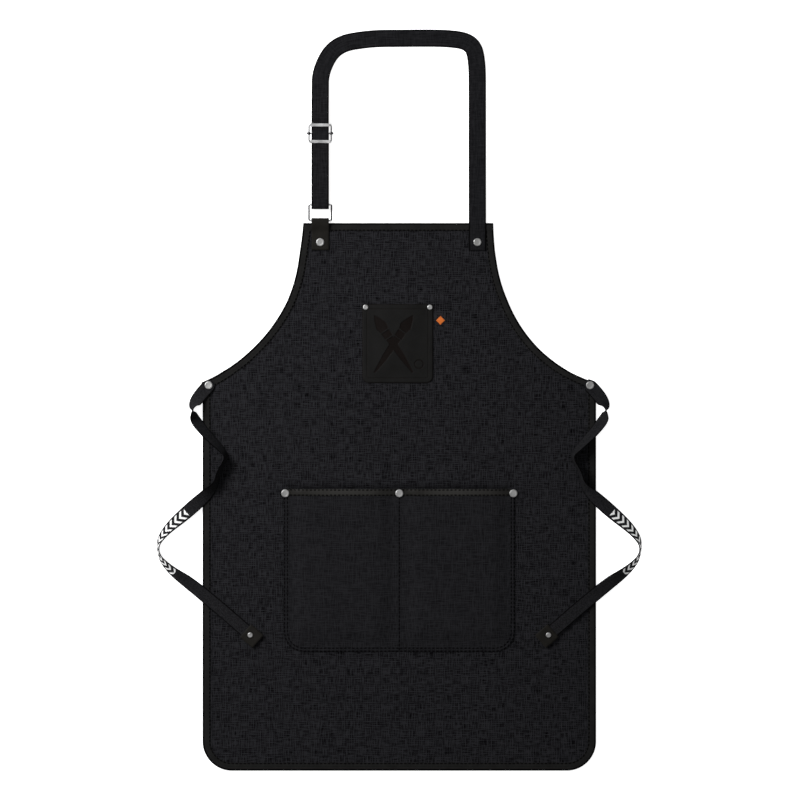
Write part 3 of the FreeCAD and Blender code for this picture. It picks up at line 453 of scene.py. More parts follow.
BODY_CLOTH = slub_cloth("body_cloth", (0.0003, 0.0003, 0.0005), (0.0225, 0.0225, 0.0254), 1.55, 0.48)
POCKET_CLOTH = slub_cloth("pocket_cloth", (0.0058, 0.0058, 0.0066), (0.0186, 0.0186, 0.0208), 1.15, 0.21)
BAND_CLOTH = binding_cloth("band_cloth", (0.0098, 0.0097, 0.0096), (0.0190, 0.0187, 0.0184))
STRAP_CLOTH = fine_webbing("strap_cloth", (0.0058, 0.0058, 0.0067), (0.0172, 0.0172, 0.0192), STRAP_WIDTH / 2)
TIE_CLOTH = printed_webbing("tie_cloth", (0.0075, 0.0075, 0.0084), (0.0230, 0.0228, 0.0250), TIE_WIDTH / 2,
                            print_start=0.246, print_end=0.362)
GLOSS_LEATHER = leather("gloss_leather", (0.0100, 0.0093, 0.0083), (0.0290, 0.0280, 0.0262), 0.42,
                        grain=800.0, depth=0.05, coat=0.12, highlight_pitch=RIVET_SPACING)
PATCH_LEATHER = leather("patch_leather", (0.0062, 0.0061, 0.0059), (0.0108, 0.0106, 0.0104), 0.7,
                        pressed_and_shade=True)
TAB_LEATHER = leather("tab_leather", (0.0075, 0.0068, 0.0056), (0.0150, 0.0138, 0.0120), 0.65)
RIVET_METAL = metal("rivet_metal", (0.50, 0.50, 0.495), 0.45, scratch=0.02, tarnish=0.85, patches=120.0)
# Painted reflections: near black for the thin wire and near white for the flat bars.
WIRE_METAL = wire_metal("wire_metal", (0.045, 0.045, 0.047), (0.86, 0.86, 0.87))
BLACK_THREAD = thread_material("black_thread", (0.0010, 0.0010, 0.0011))
ORANGE_THREAD = satin_thread("orange_thread", (0.85, 0.20, 0.025))


# ---------------------------------------------------------------- meshes

def face_outward(mesh):
    """Turns every face of a closed mesh to look outwards."""
    shape = bmesh.new()
    shape.from_mesh(mesh)
    bmesh.ops.recalc_face_normals(shape, faces=shape.faces)
    shape.to_mesh(mesh)
    shape.free()


def new_piece(name, shape, material, nodes=(), body=None):
    """A smooth piece made of (points, faces). It stands for CAD nodes and rides on a body, where given."""
    points, faces = shape
    mesh = bpy.data.meshes.new(name)
    mesh.from_pydata([tuple(point) for point in points], [], faces)
    mesh.materials.append(material)
    mesh.polygons.foreach_set("use_smooth", [True] * len(mesh.polygons))
    face_outward(mesh)
    mesh.update()
    piece = bpy.data.objects.new(name, mesh)
    bpy.context.scene.collection.objects.link(piece)
    if nodes:
        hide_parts(*nodes)
    if body:
        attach(piece, body)
    return piece


def store(piece, name, values):
    """Keeps one value for every point of the piece, for its material to read."""
    kept = piece.data.attributes.new(name, "FLOAT", "POINT")
    kept.data.foreach_set("value", values)


def places(x, y, z):
    return np.stack([x, y, z], axis=2)


def merged(shapes):
    """Several shapes' points and faces as one shape's."""
    points, faces = [], []
    for more_points, more_faces in shapes:
        faces += [tuple(index + len(points) for index in face) for face in more_faces]
        points += list(more_points)
    return points, faces


def grid_faces(rows, columns, start=0, flip=False):
    """Four-sided faces over a grid of points laid out row by row."""
    faces = []
    for row in range(rows - 1):
        for column in range(columns - 1):
            corner = start + row * columns + column
            face = (corner, corner + 1, corner + columns + 1, corner + columns)
            faces.append(face[::-1] if flip else face)
    return faces


def layered(top, under):
    """Points and faces of a closed sheet between two grids of points of the same size."""
    rows, columns = top.shape[:2]
    points = np.concatenate([top.reshape(-1, 3), under.reshape(-1, 3)])
    below = rows * columns
    faces = grid_faces(rows, columns) + grid_faces(rows, columns, below, True)
    rim = list(range(columns - 1))
    rim += [row * columns + columns - 1 for row in range(rows - 1)]
    rim += [(rows - 1) * columns + column for column in range(columns - 1, 0, -1)]
    rim += [row * columns for row in range(rows - 1, 0, -1)]
    for here, there in zip(rim, rim[1:] + rim[:1]):
        faces.append((there, here, below + here, below + there))
    return points, faces


def swept(sections):
    """Points and faces of a closed tube through equal rings of points, with flat ends."""
    stations, around = sections.shape[:2]
    points = sections.reshape(-1, 3)
    faces = []
    for station in range(stations - 1):
        for index in range(around):
            beside = (index + 1) % around
            low = station * around
            high = low + around
            faces.append((low + index, low + beside, high + beside, high + index))
    faces.append(tuple(range(around))[::-1])
    faces.append(tuple((stations - 1) * around + index for index in range(around)))
    return points, faces


def smooth_step(value):
    held = np.clip(value, 0.0, 1.0)
    return held * held * (3.0 - 2.0 * held)


def hump(value, middle, width):
    """1 at the middle and close to nought from about two widths off."""
    return np.exp(-((value - middle) / width) ** 2)


RIPPLE_WAVES = 7
RIPPLE_SIZE = 4.0


def ripple(x, y, seed, length):
    """Soft, uneven waves between about -1 and 1, `length` metres from crest to crest."""
    waves = np.random.default_rng(seed)
    total = np.zeros_like(x)
    for _ in range(RIPPLE_WAVES):
        heading = waves.uniform(0, 2 * math.pi)
        pitch = length * waves.uniform(0.6, 1.9)
        start = waves.uniform(0, 2 * math.pi)
        total += np.sin(2 * math.pi * (x * math.cos(heading) + y * math.sin(heading)) / pitch + start)
    return total / RIPPLE_SIZE


# ---------------------------------------------------------------- lines that pieces follow

UP = (0.0, 0.0, 1.0)
NEARLY_UPRIGHT = 0.2


def spline_points(route, steps):
    """Even points along the NURBS line that has the route as its control points."""
    curve = bpy.data.curves.new("route", "CURVE")
    curve.dimensions = "3D"
    spline = curve.splines.new("NURBS")
    spline.points.add(len(route) - 1)
    for point, place in zip(spline.points, route):
        point.co = (*place, 1.0)
    spline.order_u = 3
    spline.use_endpoint_u = True
    spline.resolution_u = steps
    holder = bpy.data.objects.new("route", curve)
    mesh = bpy.data.meshes.new_from_object(holder)
    points = np.array([vertex.co for vertex in mesh.vertices])
    bpy.data.objects.remove(holder)
    bpy.data.curves.remove(curve)
    bpy.data.meshes.remove(mesh)
    return points


def unit(vectors):
    return vectors / np.linalg.norm(vectors, axis=-1, keepdims=True)


def travelled(points):
    """How far along the line each of its points lies."""
    return np.concatenate([[0.0], np.cumsum(np.linalg.norm(np.diff(points, axis=0), axis=1))])


def side_points(route, leans, half_width):
    """The route moved half a width to its side: lean 0 is level, 90 straight up."""
    points = np.array(route)
    legs = unit(np.diff(points, axis=0))
    heading = unit(np.vstack([legs[:1], legs[:-1] + legs[1:], legs[-1:]]))
    across = unit(np.cross(UP, heading[0]))
    moved = []
    for index, point in enumerate(points):
        level = np.cross(UP, heading[index])
        if np.linalg.norm(level) > NEARLY_UPRIGHT:
            level = unit(level)
            across = level if level @ across > 0 else -level
        widen = 1.0 / max(0.5, float(heading[index] @ legs[min(index, len(legs) - 1)]))
        upward = np.cross(heading[index], across)
        lean = math.radians(leans[index])
        moved.append(point + half_width * (across * math.cos(lean) * widen + upward * math.sin(lean)))
    return moved


def ribbon_frame(route, leans, half_width, steps):
    """Centre points, directions across and directions out of the face, all along a ribbon."""
    centre = spline_points(route, steps)
    side = spline_points(side_points(route, leans, half_width), steps)
    across = unit(side - centre)
    forward = unit(np.gradient(centre, axis=0))
    across = unit(across - forward * np.sum(across * forward, axis=1, keepdims=True))
    return centre, across, np.cross(forward, across)


def webbing_section(width, thick, round_edge, columns=9):
    """Ring of (across, out) places round a flat band with rounded edges."""
    inner, deep = width / 2 - round_edge, thick / 2
    ring = [(across, deep) for across in np.linspace(inner, -inner, columns)]
    for step in range(1, 6):
        angle = math.pi / 2 + step * math.pi / 6
        ring.append((-inner + round_edge * math.cos(angle), deep * math.sin(angle)))
    ring += [(-across, -out) for across, out in ring]
    return np.array(ring)


def ribbon_mesh(centre, across, outward, section, lift=None, narrow=None):
    """Sweeps the section along the ribbon.

    `lift` moves each station and ring point out of the face, and `narrow` is each station's share of
    the full width.
    """
    share = np.ones(len(centre)) if narrow is None else narrow
    offsets = (share[:, None, None] * section[None, :, 0, None] * across[:, None, :]
               + section[None, :, 1, None] * outward[:, None, :])
    sections = centre[:, None, :] + offsets
    if lift is not None:
        sections = sections + lift[..., None] * outward[:, None, :]
    return swept(sections)


def add_length_map(piece, section, centre):
    """Map in metres: how far across the ribbon and how far along it each corner lies."""
    travel = travelled(centre)
    layer = piece.data.uv_layers.new(name="webbing")
    for loop in piece.data.loops:
        station, index = divmod(loop.vertex_index, len(section))
        layer.data[loop.index].uv = (section[index][0], travel[station])


# ---------------------------------------------------------------- waist ties: the cords

TIE_THICK = mm(1.2)
TIE_RIVET_SEAT = mm(4.0)
TIE_STEPS = 14
BIG_RIVET = dict(cap=mm(6.0), rear=mm(5.0), post=mm(1.5))
SMALL_RIVET = dict(cap=mm(4.0), rear=mm(3.6), post=mm(1.2))
LEFT_TIE_ROUTE = [
    (-0.2798, 0.0278, 0.0032),
    (-0.2950, 0.0125, 0.0034),
    (-0.3062, -0.0035, 0.0068),
    (-0.3092, -0.0150, 0.0128),
    (-0.3072, -0.0270, 0.0092),
    (-0.2925, -0.0465, 0.0104),
    (-0.2680, -0.0715, 0.0112),
    (-0.2568, -0.0845, 0.0118),
    (-0.2705, -0.1060, 0.0118),
    (-0.2745, -0.1250, 0.0116),
    (-0.2870, -0.1400, 0.0080),
    (-0.3140, -0.1639, 0.0044),
    (-0.3545, -0.1991, 0.0094),
    (-0.3635, -0.2246, 0.0124),
    (-0.3482, -0.2500, 0.0106),
    (-0.2999, -0.2838, 0.0050),
    (-0.2180, -0.3560, 0.0050),
]
LEFT_TIE_LEANS = [0, 0, 20, 90, 138, 132, 118, 98, 98, 105, 150, 184, 232, 265, 232, 180, 180]


def mirrored(points):
    """Points in space or on the table, seen in the apron's middle line."""
    return points * np.array((-1.0, 1.0, 1.0))[:points.shape[-1]]


def tie_tab(side, end, heading):
    """Square leather tab folded over the tie's end: a soft pillow with rounded edges."""
    half, overhang, thick, dent = mm(13.0, 9.0, 1.6, 0.5)
    rounding, edge_start, edge_thin, rivet_at = 0.035, 0.86, 0.55, 0.18
    middle = end + heading * (overhang - half)
    sideways = np.array((-heading[1], heading[0], 0.0))
    span = np.linspace(-1.0, 1.0, 27)
    u, v = np.meshgrid(span, span)
    shrink = 1.0 - rounding * smooth_step(np.abs(u) ** 6 + np.abs(v) ** 6 - 0.6)
    edge = smooth_step((np.maximum(np.abs(u), np.abs(v)) - edge_start) / (1.0 - edge_start))
    pinch = dent * np.exp(-((u - rivet_at) ** 2 + v ** 2) / 0.05)
    above = thick * (1.0 - edge * edge_thin) - pinch
    top = middle + (u * shrink * half)[..., None] * heading + (v * shrink * half)[..., None] * sideways
    under = top.copy()
    top[..., 2] = end[2] + above
    under[..., 2] = end[2] - above
    return new_piece("tie_tab_leather_" + side, layered(top, under), TAB_LEATHER,
                     ["tie_end_tab_" + side], side + "_tie")


def lathe(profile, centre, sides=40):
    """Points and faces of a profile of (radius, height) turned about an upright axis."""
    angles = [2 * math.pi * step / sides for step in range(sides)]
    x, y = centre[0], centre[1]
    return swept(np.array([[(x + radius * math.cos(angle), y + radius * math.sin(angle), height)
                            for angle in angles] for radius, height in profile]))


def rivet_profile(low, seat, top, cap, rear, post):
    """Flat rear cap, post, and a pressed front cap with a rolled rim and a shallow dished middle."""
    bevel, plate, lip, roll = mm(0.3, 0.8, 0.4, 1.1)
    rise = top - seat
    profile = [(0.3 * rear, low), (rear - bevel, low), (rear, low + mm(0.25)), (rear, low + mm(0.6)),
               (rear - bevel, low + plate), (post, low + plate), (post, seat), (cap - lip, seat),
               (cap, seat + 0.18 * rise)]
    for step in range(1, 6):
        angle = step * math.pi / 10
        profile.append((cap - roll * (1 - math.cos(angle)), seat + (0.18 + 0.78 * math.sin(angle)) * rise))
    for share, height in ((0.72, 0.97), (0.62, 0.90), (0.50, 0.86), (0.2, 0.88), (0.04, 0.9)):
        profile.append((share * cap, seat + height * rise))
    return profile


def rivets(name, node, body, spots, seat, cap, rear, post):
    """All the rivets of one CAD node as one piece, as low and as high as the node."""
    low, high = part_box(node)
    profile = rivet_profile(low.z, seat, high.z, cap, rear, post)
    shape = merged(lathe(profile, spot) for spot in spots)
    return new_piece(name, shape, RIVET_METAL, [node], body)


def middle_of(node):
    low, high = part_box(node)
    return (low + high) / 2


def folded_end(centre):
    """How wide the tie is at each station: its corners are tucked in under the waist rivet."""
    return 0.5 + 0.5 * smooth_step(0.25 + travelled(centre) / mm(14.0))


def waist_tie(side, flip):
    """One printed webbing tie from its waist rivet to the tab, with the tab and its small rivet."""
    centre, across, outward = ribbon_frame(LEFT_TIE_ROUTE, LEFT_TIE_LEANS, TIE_WIDTH / 2, TIE_STEPS)
    if flip:
        centre, across, outward = mirrored(centre), -mirrored(across), mirrored(outward)
    section = webbing_section(TIE_WIDTH, TIE_THICK, TIE_THICK / 2)
    shape = ribbon_mesh(centre, across, outward, section, narrow=folded_end(centre))
    tie = new_piece("waist_tie_" + side, shape, TIE_CLOTH, ["tie_" + side], side + "_tie")
    add_length_map(tie, section, centre)
    tab = tie_tab(side, centre[-1], unit(centre[-1] - centre[-2]))
    node = "tie_end_rivet_" + side
    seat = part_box(node)[0].z + TIE_RIVET_SEAT
    rivet = rivets("tie_rivet_" + side, node, side + "_tie", [middle_of(node)], seat, **SMALL_RIVET)


waist_tie("left", False)
waist_tie("right", True)


# ---------------------------------------------------------------- outline of the apron

CLOTH = mm(0.8)
BIB_TOP = mm(265.8)
SIDE = mm(295.0)
BOTTOM = -mm(555.4)
ROUND = mm(44.0)
UPPER_CENTRE = np.array(mm(721.5, 298.65))
UPPER_RADIUS = mm(580.0)
LOWER_RADIUS = mm(227.5)
LOWER_CENTRE_UP = mm(240.0)
CENTRES_DROP = UPPER_CENTRE[1] - LOWER_CENTRE_UP
CENTRES_APART = UPPER_RADIUS - LOWER_RADIUS
CENTRES_ASIDE = math.sqrt(CENTRES_APART ** 2 - CENTRES_DROP ** 2)
LOWER_CENTRE = np.array((UPPER_CENTRE[0] - CENTRES_ASIDE, LOWER_CENTRE_UP))
JOIN_UP = UPPER_CENTRE[1] - CENTRES_DROP * UPPER_RADIUS / CENTRES_APART
WAIST_UP = LOWER_CENTRE[1] - math.sqrt(LOWER_RADIUS ** 2 - (SIDE - LOWER_CENTRE[0]) ** 2)
WAIST_SEAM = mm(16.0)
ARMHOLE_LOW = mm(5.0)
FINE = mm(1.0)


def half_width(up, inset):
    """Half the apron's width at a height, with the outline moved inwards by `inset`."""
    up = np.asarray(up, float)

    def arc(centre, radius):
        return centre[0] - np.sqrt(np.maximum((radius + inset) ** 2 - (up - centre[1]) ** 2, 0))

    armhole = np.where(up > JOIN_UP, arc(UPPER_CENTRE, UPPER_RADIUS), arc(LOWER_CENTRE, LOWER_RADIUS))
    width = np.where(up > ARMHOLE_LOW, np.minimum(armhole, SIDE - inset), SIDE - inset)
    above = up - (BOTTOM + ROUND)
    corner = SIDE - ROUND + np.sqrt(np.maximum((ROUND - inset) ** 2 - above ** 2, 0))
    return np.where(above < 0, corner, width)


def settled(points):
    """The bib as it lies: both armhole edges a few millimetres to the left, and the middle unmoved."""
    x, y = points[..., 0], points[..., 1]
    heights = mm(16.0, 42.0, 75.0, 150.0, 225.0, 266.0)
    slips = mm(0.0, -5.0, -5.6, -2.7, -2.8, -1.6)
    slip = np.interp(y, heights, slips)
    share = np.clip(np.abs(x) / np.maximum(half_width(y, 0.0), mm(1.0)), 0.0, 1.0)
    moved = points.copy()
    moved[..., 0] = x + slip * smooth_step((share - 0.25) / 0.75)
    return moved


def arc_points(centre, radius, start, end, pitch=FINE):
    count = max(2, int(abs(end - start) * radius / pitch))
    angles = np.linspace(start, end, count)
    return np.stack([centre[0] + radius * np.cos(angles), centre[1] + radius * np.sin(angles)], axis=1)


def line_points(start, end, pitch=FINE):
    return np.linspace(start, end, max(2, int(math.dist(start, end) / pitch)))


def joined(stretches):
    """Stretches of points end to end, without doubled points."""
    return np.concatenate([stretches[0]] + [stretch[1:] for stretch in stretches[1:]])


def armhole_line(inset, low_end, pitch=FINE):
    """Right armhole from the bib's top down to `low_end`."""
    upper, lower = UPPER_RADIUS + inset, LOWER_RADIUS + inset
    top = math.asin((BIB_TOP - UPPER_CENTRE[1]) / upper)
    meet = math.asin(CENTRES_DROP / CENTRES_APART)
    low = math.asin((LOWER_CENTRE[1] - low_end) / lower)
    return joined([arc_points(UPPER_CENTRE, upper, math.pi - top, math.pi + meet, pitch),
                   arc_points(LOWER_CENTRE, lower, math.pi + meet, math.pi + low, pitch)])


def skirt_line(inset, pitch=FINE):
    """Down the right side, along the bottom and up the left side."""
    side, bottom, turn = SIDE - inset, BOTTOM + inset, ROUND - inset
    shoulder = BOTTOM + ROUND
    return joined([
        line_points((side, WAIST_SEAM), (side, shoulder), pitch),
        arc_points((SIDE - ROUND, shoulder), turn, 0.0, -math.pi / 2, pitch),
        line_points((SIDE - ROUND, bottom), (ROUND - SIDE, bottom), pitch),
        arc_points((ROUND - SIDE, shoulder), turn, -math.pi / 2, -math.pi, pitch),
        line_points((-side, shoulder), (-side, WAIST_SEAM), pitch),
    ])


def inward(points):
    """Level direction to the right of the line at each point: into the cloth on a clockwise outline."""
    forward = unit(np.gradient(points, axis=0))
    return np.stack([forward[:, 1], -forward[:, 0]], axis=1)


# ---------------------------------------------------------------- sewing thread

STITCH_PITCH = mm(6.0)
STITCH_LONG = mm(4.0)
STITCH_RADIUS = mm(0.8)
STITCH_SHAPE = ((0.0, 0.0), (0.08, 0.62), (0.3, 1.0), (0.7, 1.0), (0.92, 0.62), (1.0, 0.0))
STITCH_TIP = 0.25
STITCH_DIP = 0.25
STITCH_FLATNESS = 0.75
STITCH_SIDES = 6
STITCH_WANDER = mm(0.05)


def stitch(start, along, sideways, radius):
    """One stitch: a slightly flat bead of thread whose ends dip and taper."""
    upward = unit(np.cross(along, sideways))
    angles = [2 * math.pi * side / STITCH_SIDES for side in range(STITCH_SIDES)]
    rings = []
    for share, full in STITCH_SHAPE:
        middle = start + along * share - upward * (radius * STITCH_DIP * (1 - full))
        reach = radius * max(full, STITCH_TIP)
        rings.append([middle + sideways * (reach * math.cos(angle))
                      + upward * (reach * STITCH_FLATNESS * math.sin(angle)) for angle in angles])
    return swept(np.array(rings))


def stitches_along(line, radius):
    """One row of stitches along a line of places in space, each a little off the line."""
    travel = travelled(line)
    count = int(travel[-1] // STITCH_PITCH)
    row = []
    for number in range(count):
        middle = (number + 0.5) * travel[-1] / count
        start, stop = (np.array([np.interp(end, travel, line[:, axis]) for axis in range(3)])
                       for end in (middle - STITCH_LONG / 2, middle + STITCH_LONG / 2))
        sideways = unit(np.cross(UP, stop - start))
        aside = sideways * random.normal(0.0, STITCH_WANDER)
        row.append(stitch(start + aside, stop - start, sideways, radius))
    return merged(row)


def sew(name, rows, radius=STITCH_RADIUS):
    """One piece of black thread for several rows of stitches on the apron."""
    shape = merged(stitches_along(row, radius) for row in rows)
    new_piece(name, shape, BLACK_THREAD, body="apron")


def at_height(line, height):
    return np.column_stack([line, np.full(len(line), height)])


# ---------------------------------------------------------------- cloth panel and its edge bands

def panel_height(x, y):
    """Height of the panel's back above the table: slow ripples that die out towards the edge bands."""
    fade, swell, crest = mm(45.0, 0.42, 160.0)
    edge = np.minimum(half_width(y, CLOTH) - np.abs(x), BIB_TOP - CLOTH - y)
    edge = np.minimum(edge, y - BOTTOM - CLOTH)
    return CLOTH + smooth_step((edge - BAND) / fade) * swell * ripple(x, y, seed=3, length=crest)


def cloth_panel():
    """The apron's cloth, with a painted shadow along the lower pocket's mouth."""
    gap = mm(0.2)
    rows = np.linspace(BOTTOM + CLOTH + gap, BIB_TOP - CLOTH - gap, 270)
    share, up = np.meshgrid(np.linspace(-1.0, 1.0, 170), rows)
    x = share * (half_width(up, CLOTH) - gap / 2)
    low = panel_height(x, up)
    shape = layered(settled(places(x, up, low + CLOTH)), settled(places(x, up, low)))
    piece = new_piece("apron_cloth", shape, BODY_CLOTH, ["body_panel"], "apron")
    # Painted shadow: a soft dark strip along the lower pocket's mouth.
    painted_mouth_shadow = hump(up, POCKET_TOP + mm(2.0), mm(5.0))
    beside = smooth_step((POCKET_HALF - mm(2.0) - np.abs(x)) / mm(10.0))
    add_pressed_and_shade(piece, 0.5 * painted_mouth_shadow * beside)
    return piece


def band_section():
    """Folded tape seen end on: (inward, up) places round a thin C that holds the cloth's edge."""
    layer, height = mm(0.72), 3 * CLOTH
    fold = height / 2
    turn = np.linspace(-math.pi / 2, -3 * math.pi / 2, 9)

    def bend(radius, angles):
        return [(fold + radius * math.cos(angle), fold + radius * math.sin(angle)) for angle in angles]

    outer = bend(fold, turn)
    outer += [(span, height) for span in (*mm(2.6, 5.0, 8.0, 10.0), STITCH_INSET, mm(11.5))]
    bevel = mm(0.12)
    outer += [(BAND - bevel, height - bevel), (BAND, height - layer / 2), (BAND - mm(0.1), height - layer)]
    under = [(BAND - mm(0.1), layer), (BAND, layer / 2), (BAND - mm(0.2), 0.0), (mm(5.0), 0.0)]
    return np.array(outer + bend(fold - layer, turn[::-1]) + under)


def edge_band(name, line, node, cut=None):
    """Sweeps the folded tape along its line; the stitches pull it in a little at every hole."""
    section = band_section()
    inwards, up = section[:, 0], section[:, 1]
    travel = travelled(line)
    pull = hump(inwards, STITCH_INSET, mm(1.1)) * (up > 2 * CLOTH)
    hole = 0.5 + 0.5 * np.cos(2 * math.pi * travel / STITCH_PITCH)
    dip = mm(0.10) + mm(0.16) * hole
    wander = mm(0.12) * ripple(travel, travel * 0.3, seed=11, length=mm(70.0))
    reach = inwards[None, :] + wander[:, None] * (inwards[None, :] > mm(4.0))
    flat = line[:, None, :] + inward(line)[:, None, :] * reach[..., None]
    height = up[None, :] - dip[:, None] * pull[None, :]
    sections = np.concatenate([flat, height[..., None]], axis=2)
    if cut is not None:
        sections = cut(sections)
    piece = new_piece(name, swept(settled(sections)), BAND_CLOTH, [node], "apron")
    add_length_map(piece, section, line)


def slanted_ends(sections):
    """Lets the top band's ends follow the armhole's slanting edge."""
    sections[..., 0] *= half_width(sections[..., 1], 0.0) / half_width(BIB_TOP, 0.0)
    return sections


def flat_top(sections):
    """Ends an armhole band square under the top band."""
    sections[..., 1] = np.minimum(sections[..., 1], BIB_TOP - BAND)
    return sections


def top_line(inset, pitch=FINE):
    """Along the bib's top edge, from left to right."""
    half = float(half_width(BIB_TOP - inset, inset))
    return line_points((-half, BIB_TOP - inset), (half, BIB_TOP - inset), pitch)


def edge_bands():
    pitch = mm(1.35)
    edge_band("top_tape", top_line(0.0, pitch), "top_band", slanted_ends)
    edge_band("skirt_tape", skirt_line(0.0, pitch), "skirt_band")
    right = armhole_line(0.0, WAIST_UP, pitch)
    edge_band("armhole_tape_right", right, "armhole_band_right", flat_top)
    edge_band("armhole_tape_left", mirrored(right)[::-1], "armhole_band_left", flat_top)


def edge_rows(inset, height):
    """Rows of stitches along every edge, `inset` from it."""
    right = armhole_line(inset, WAIST_SEAM)
    right = right[(right[:, 1] < BIB_TOP - inset) & (right[:, 0] < SIDE - inset)]
    lines = (top_line(inset), right, mirrored(right), skirt_line(inset))
    return [settled(at_height(line, height)) for line in lines]


def edge_stitches():
    sew("edge_stitches", edge_rows(STITCH_INSET, 3 * CLOTH + mm(0.1)))
    sew("fold_stitches", edge_rows(mm(1.5), 3 * CLOTH - mm(0.05)), radius=mm(0.6))


# ---------------------------------------------------------------- pockets

POCKET_HALF = mm(173.5)
POCKET_TOP = -mm(133.0)
POCKET_LOW = -mm(377.5)
POCKET_ROUND = mm(30.0)
POCKET_MARGIN = mm(9.5)
POCKET_ROWS = mm(1.5, 5.9)
SEAM_START = mm(11.5)
DIVIDER_HALF = mm(7.0)
LIFT = mm(3.6)
POCKET_SLOPE = mm(26.0)
CHEST_HALF = mm(53.0)
CHEST_TOP = mm(144.0)
CHEST_LOW = mm(26.0)
CHEST_ROUND = mm(10.0)
CHEST_MARGIN = mm(9.0)
CHEST_SLOPE = mm(32.0)
CHEST_LIFT = mm(2.0)
CHEST_SLIP = -mm(2.4)
CHEST_LEATHER = mm(1.6)
CHEST_BORDER = mm(7.2)


def inside_depth(x, y, left, right, low, turn):
    """How deep a place lies inside a U-shaped outline with round bottom corners and an open top."""
    middle, half = (left + right) / 2, (right - left) / 2
    over_x = np.abs(x - middle) - (half - turn)
    over_y = (low + turn) - y
    outside = np.hypot(np.maximum(over_x, 0.0), np.maximum(over_y, 0.0))
    return turn - outside - np.minimum(np.maximum(over_x, over_y), 0.0)


def pouch_grid(half, top, low, turn, rows, columns):
    """Grid of places over a pocket with round bottom corners."""
    up = np.linspace(low, top, rows)
    share, y = np.meshgrid(np.linspace(-1.0, 1.0, columns), up)
    below = np.clip((low + turn) - y, 0.0, turn)
    width = half - turn + np.sqrt(np.maximum(turn ** 2 - below ** 2, 0.0))
    return share * width, y


def pocket_lift(x, y):
    """How far the lower pocket's front stands off: two soft compartments either side of the middle seam."""
    side, low, turn = POCKET_HALF - POCKET_MARGIN, POCKET_LOW + POCKET_MARGIN, mm(25.0)
    depth = np.maximum(inside_depth(x, y, -side, -DIVIDER_HALF, low, turn),
                       inside_depth(x, y, DIVIDER_HALF, side, low, turn))
    share = smooth_step(depth / POCKET_SLOPE)
    gather = np.exp(-np.maximum(depth, 0.0) / mm(9.0)) * (depth > 0)
    folds = mm(0.22) * gather * ripple(x, y, seed=21, length=mm(22.0))
    slack = mm(0.35) * share * ripple(x, y, seed=5, length=mm(120.0))
    return np.clip(LIFT * share * 0.93 + folds + slack, 0.0, LIFT)


def add_pressed_and_shade(piece, dark):
    """Stores how dark each point of a layered sheet's top is pressed in or painted with shade; its underside
    is left at nought.
    """
    store(piece, "pressed_and_shade", np.concatenate([dark.ravel(), np.zeros(dark.size)]))


def lower_pocket():
    """The wide cloth pocket, with painted shade at its edge, along both rows of stitches and down its middle
    seam.
    """
    x, y = pouch_grid(POCKET_HALF, POCKET_TOP, POCKET_LOW, POCKET_ROUND, 260, 360)
    low = 2 * CLOTH + pocket_lift(x, y)
    shape = layered(places(x, y, low + CLOTH), places(x, y, low))
    piece = new_piece("pocket_front", shape, POCKET_CLOTH, ["lower_pocket"], "apron")
    edge = inside_depth(x, y, -POCKET_HALF, POCKET_HALF, POCKET_LOW, POCKET_ROUND)
    # Painted shade at the pocket's edge, down its middle seam and along both stitch rows.
    painted_shades = [0.6 * (1.0 - smooth_step(edge / mm(1.0))), 0.35 * hump(x, 0.0, mm(1.2))]
    painted_shades += [0.18 * hump(edge, row, mm(0.9)) for row in POCKET_ROWS]
    add_pressed_and_shade(piece, np.maximum.reduce(painted_shades))
    return piece


def pocket_outline(inset):
    """Down the pocket's left side, round the bottom and up its right side, moved inwards by `inset`."""
    half, low, turn = POCKET_HALF - inset, POCKET_LOW + inset, POCKET_ROUND - inset
    level = POCKET_LOW + POCKET_ROUND
    top = POCKET_TOP - SEAM_START
    middle = POCKET_HALF - POCKET_ROUND
    return joined([
        line_points((-half, top), (-half, level)),
        arc_points((-middle, level), turn, math.pi, 1.5 * math.pi),
        line_points((-middle, low), (middle, low)),
        arc_points((middle, level), turn, -math.pi / 2, 0.0),
        line_points((half, level), (half, top)),
    ])


def on_pocket(line, above):
    height = 3 * CLOTH + pocket_lift(line[:, 0], line[:, 1]) + above
    return np.column_stack([line, height])


def pocket_stitches():
    rows = [on_pocket(pocket_outline(inset), mm(0.2)) for inset in POCKET_ROWS]
    seam = line_points((0.0, POCKET_TOP - SEAM_START), (0.0, POCKET_LOW + POCKET_ROWS[0]))
    rows.append(on_pocket(seam, mm(0.1)))
    sew("pocket_stitches", rows)


BAND_LEATHER = mm(1.0)
BAND_WIDTH = mm(10.5)
BAND_GROOVES = (0.14, 0.86)


def pocket_mouth_band():
    """Glossy leather strip over the pocket's mouth, crowned across its width and sewn along two grooves."""
    x, part = np.meshgrid(np.linspace(-POCKET_HALF, POCKET_HALF, 300), np.linspace(0.0, 1.0, 13))
    y = POCKET_TOP - BAND_WIDTH * (1.0 - part)
    base = 3 * CLOTH + pocket_lift(x, y)
    crown = np.sin(np.pi * part) ** 0.35
    puff = BAND_LEATHER * (0.35 + 0.65 * crown) + mm(0.16) * ripple(x, y, seed=31, length=mm(50.0)) * crown
    groove = mm(0.22) * sum(hump(part, place, 0.05) for place in BAND_GROOVES)
    shape = layered(places(x, y, base + puff - groove), places(x, y, base + mm(0.02)))
    new_piece("pocket_mouth_leather", shape, GLOSS_LEATHER, ["pocket_top_band"], "apron")
    end = POCKET_HALF - mm(2.0)
    rows = []
    for place in BAND_GROOVES:
        up = POCKET_TOP - BAND_WIDTH * (1.0 - place)
        rows.append(on_pocket(line_points((-end, up), (end, up)), BAND_LEATHER * 0.86))
    sew("mouth_stitches", rows)


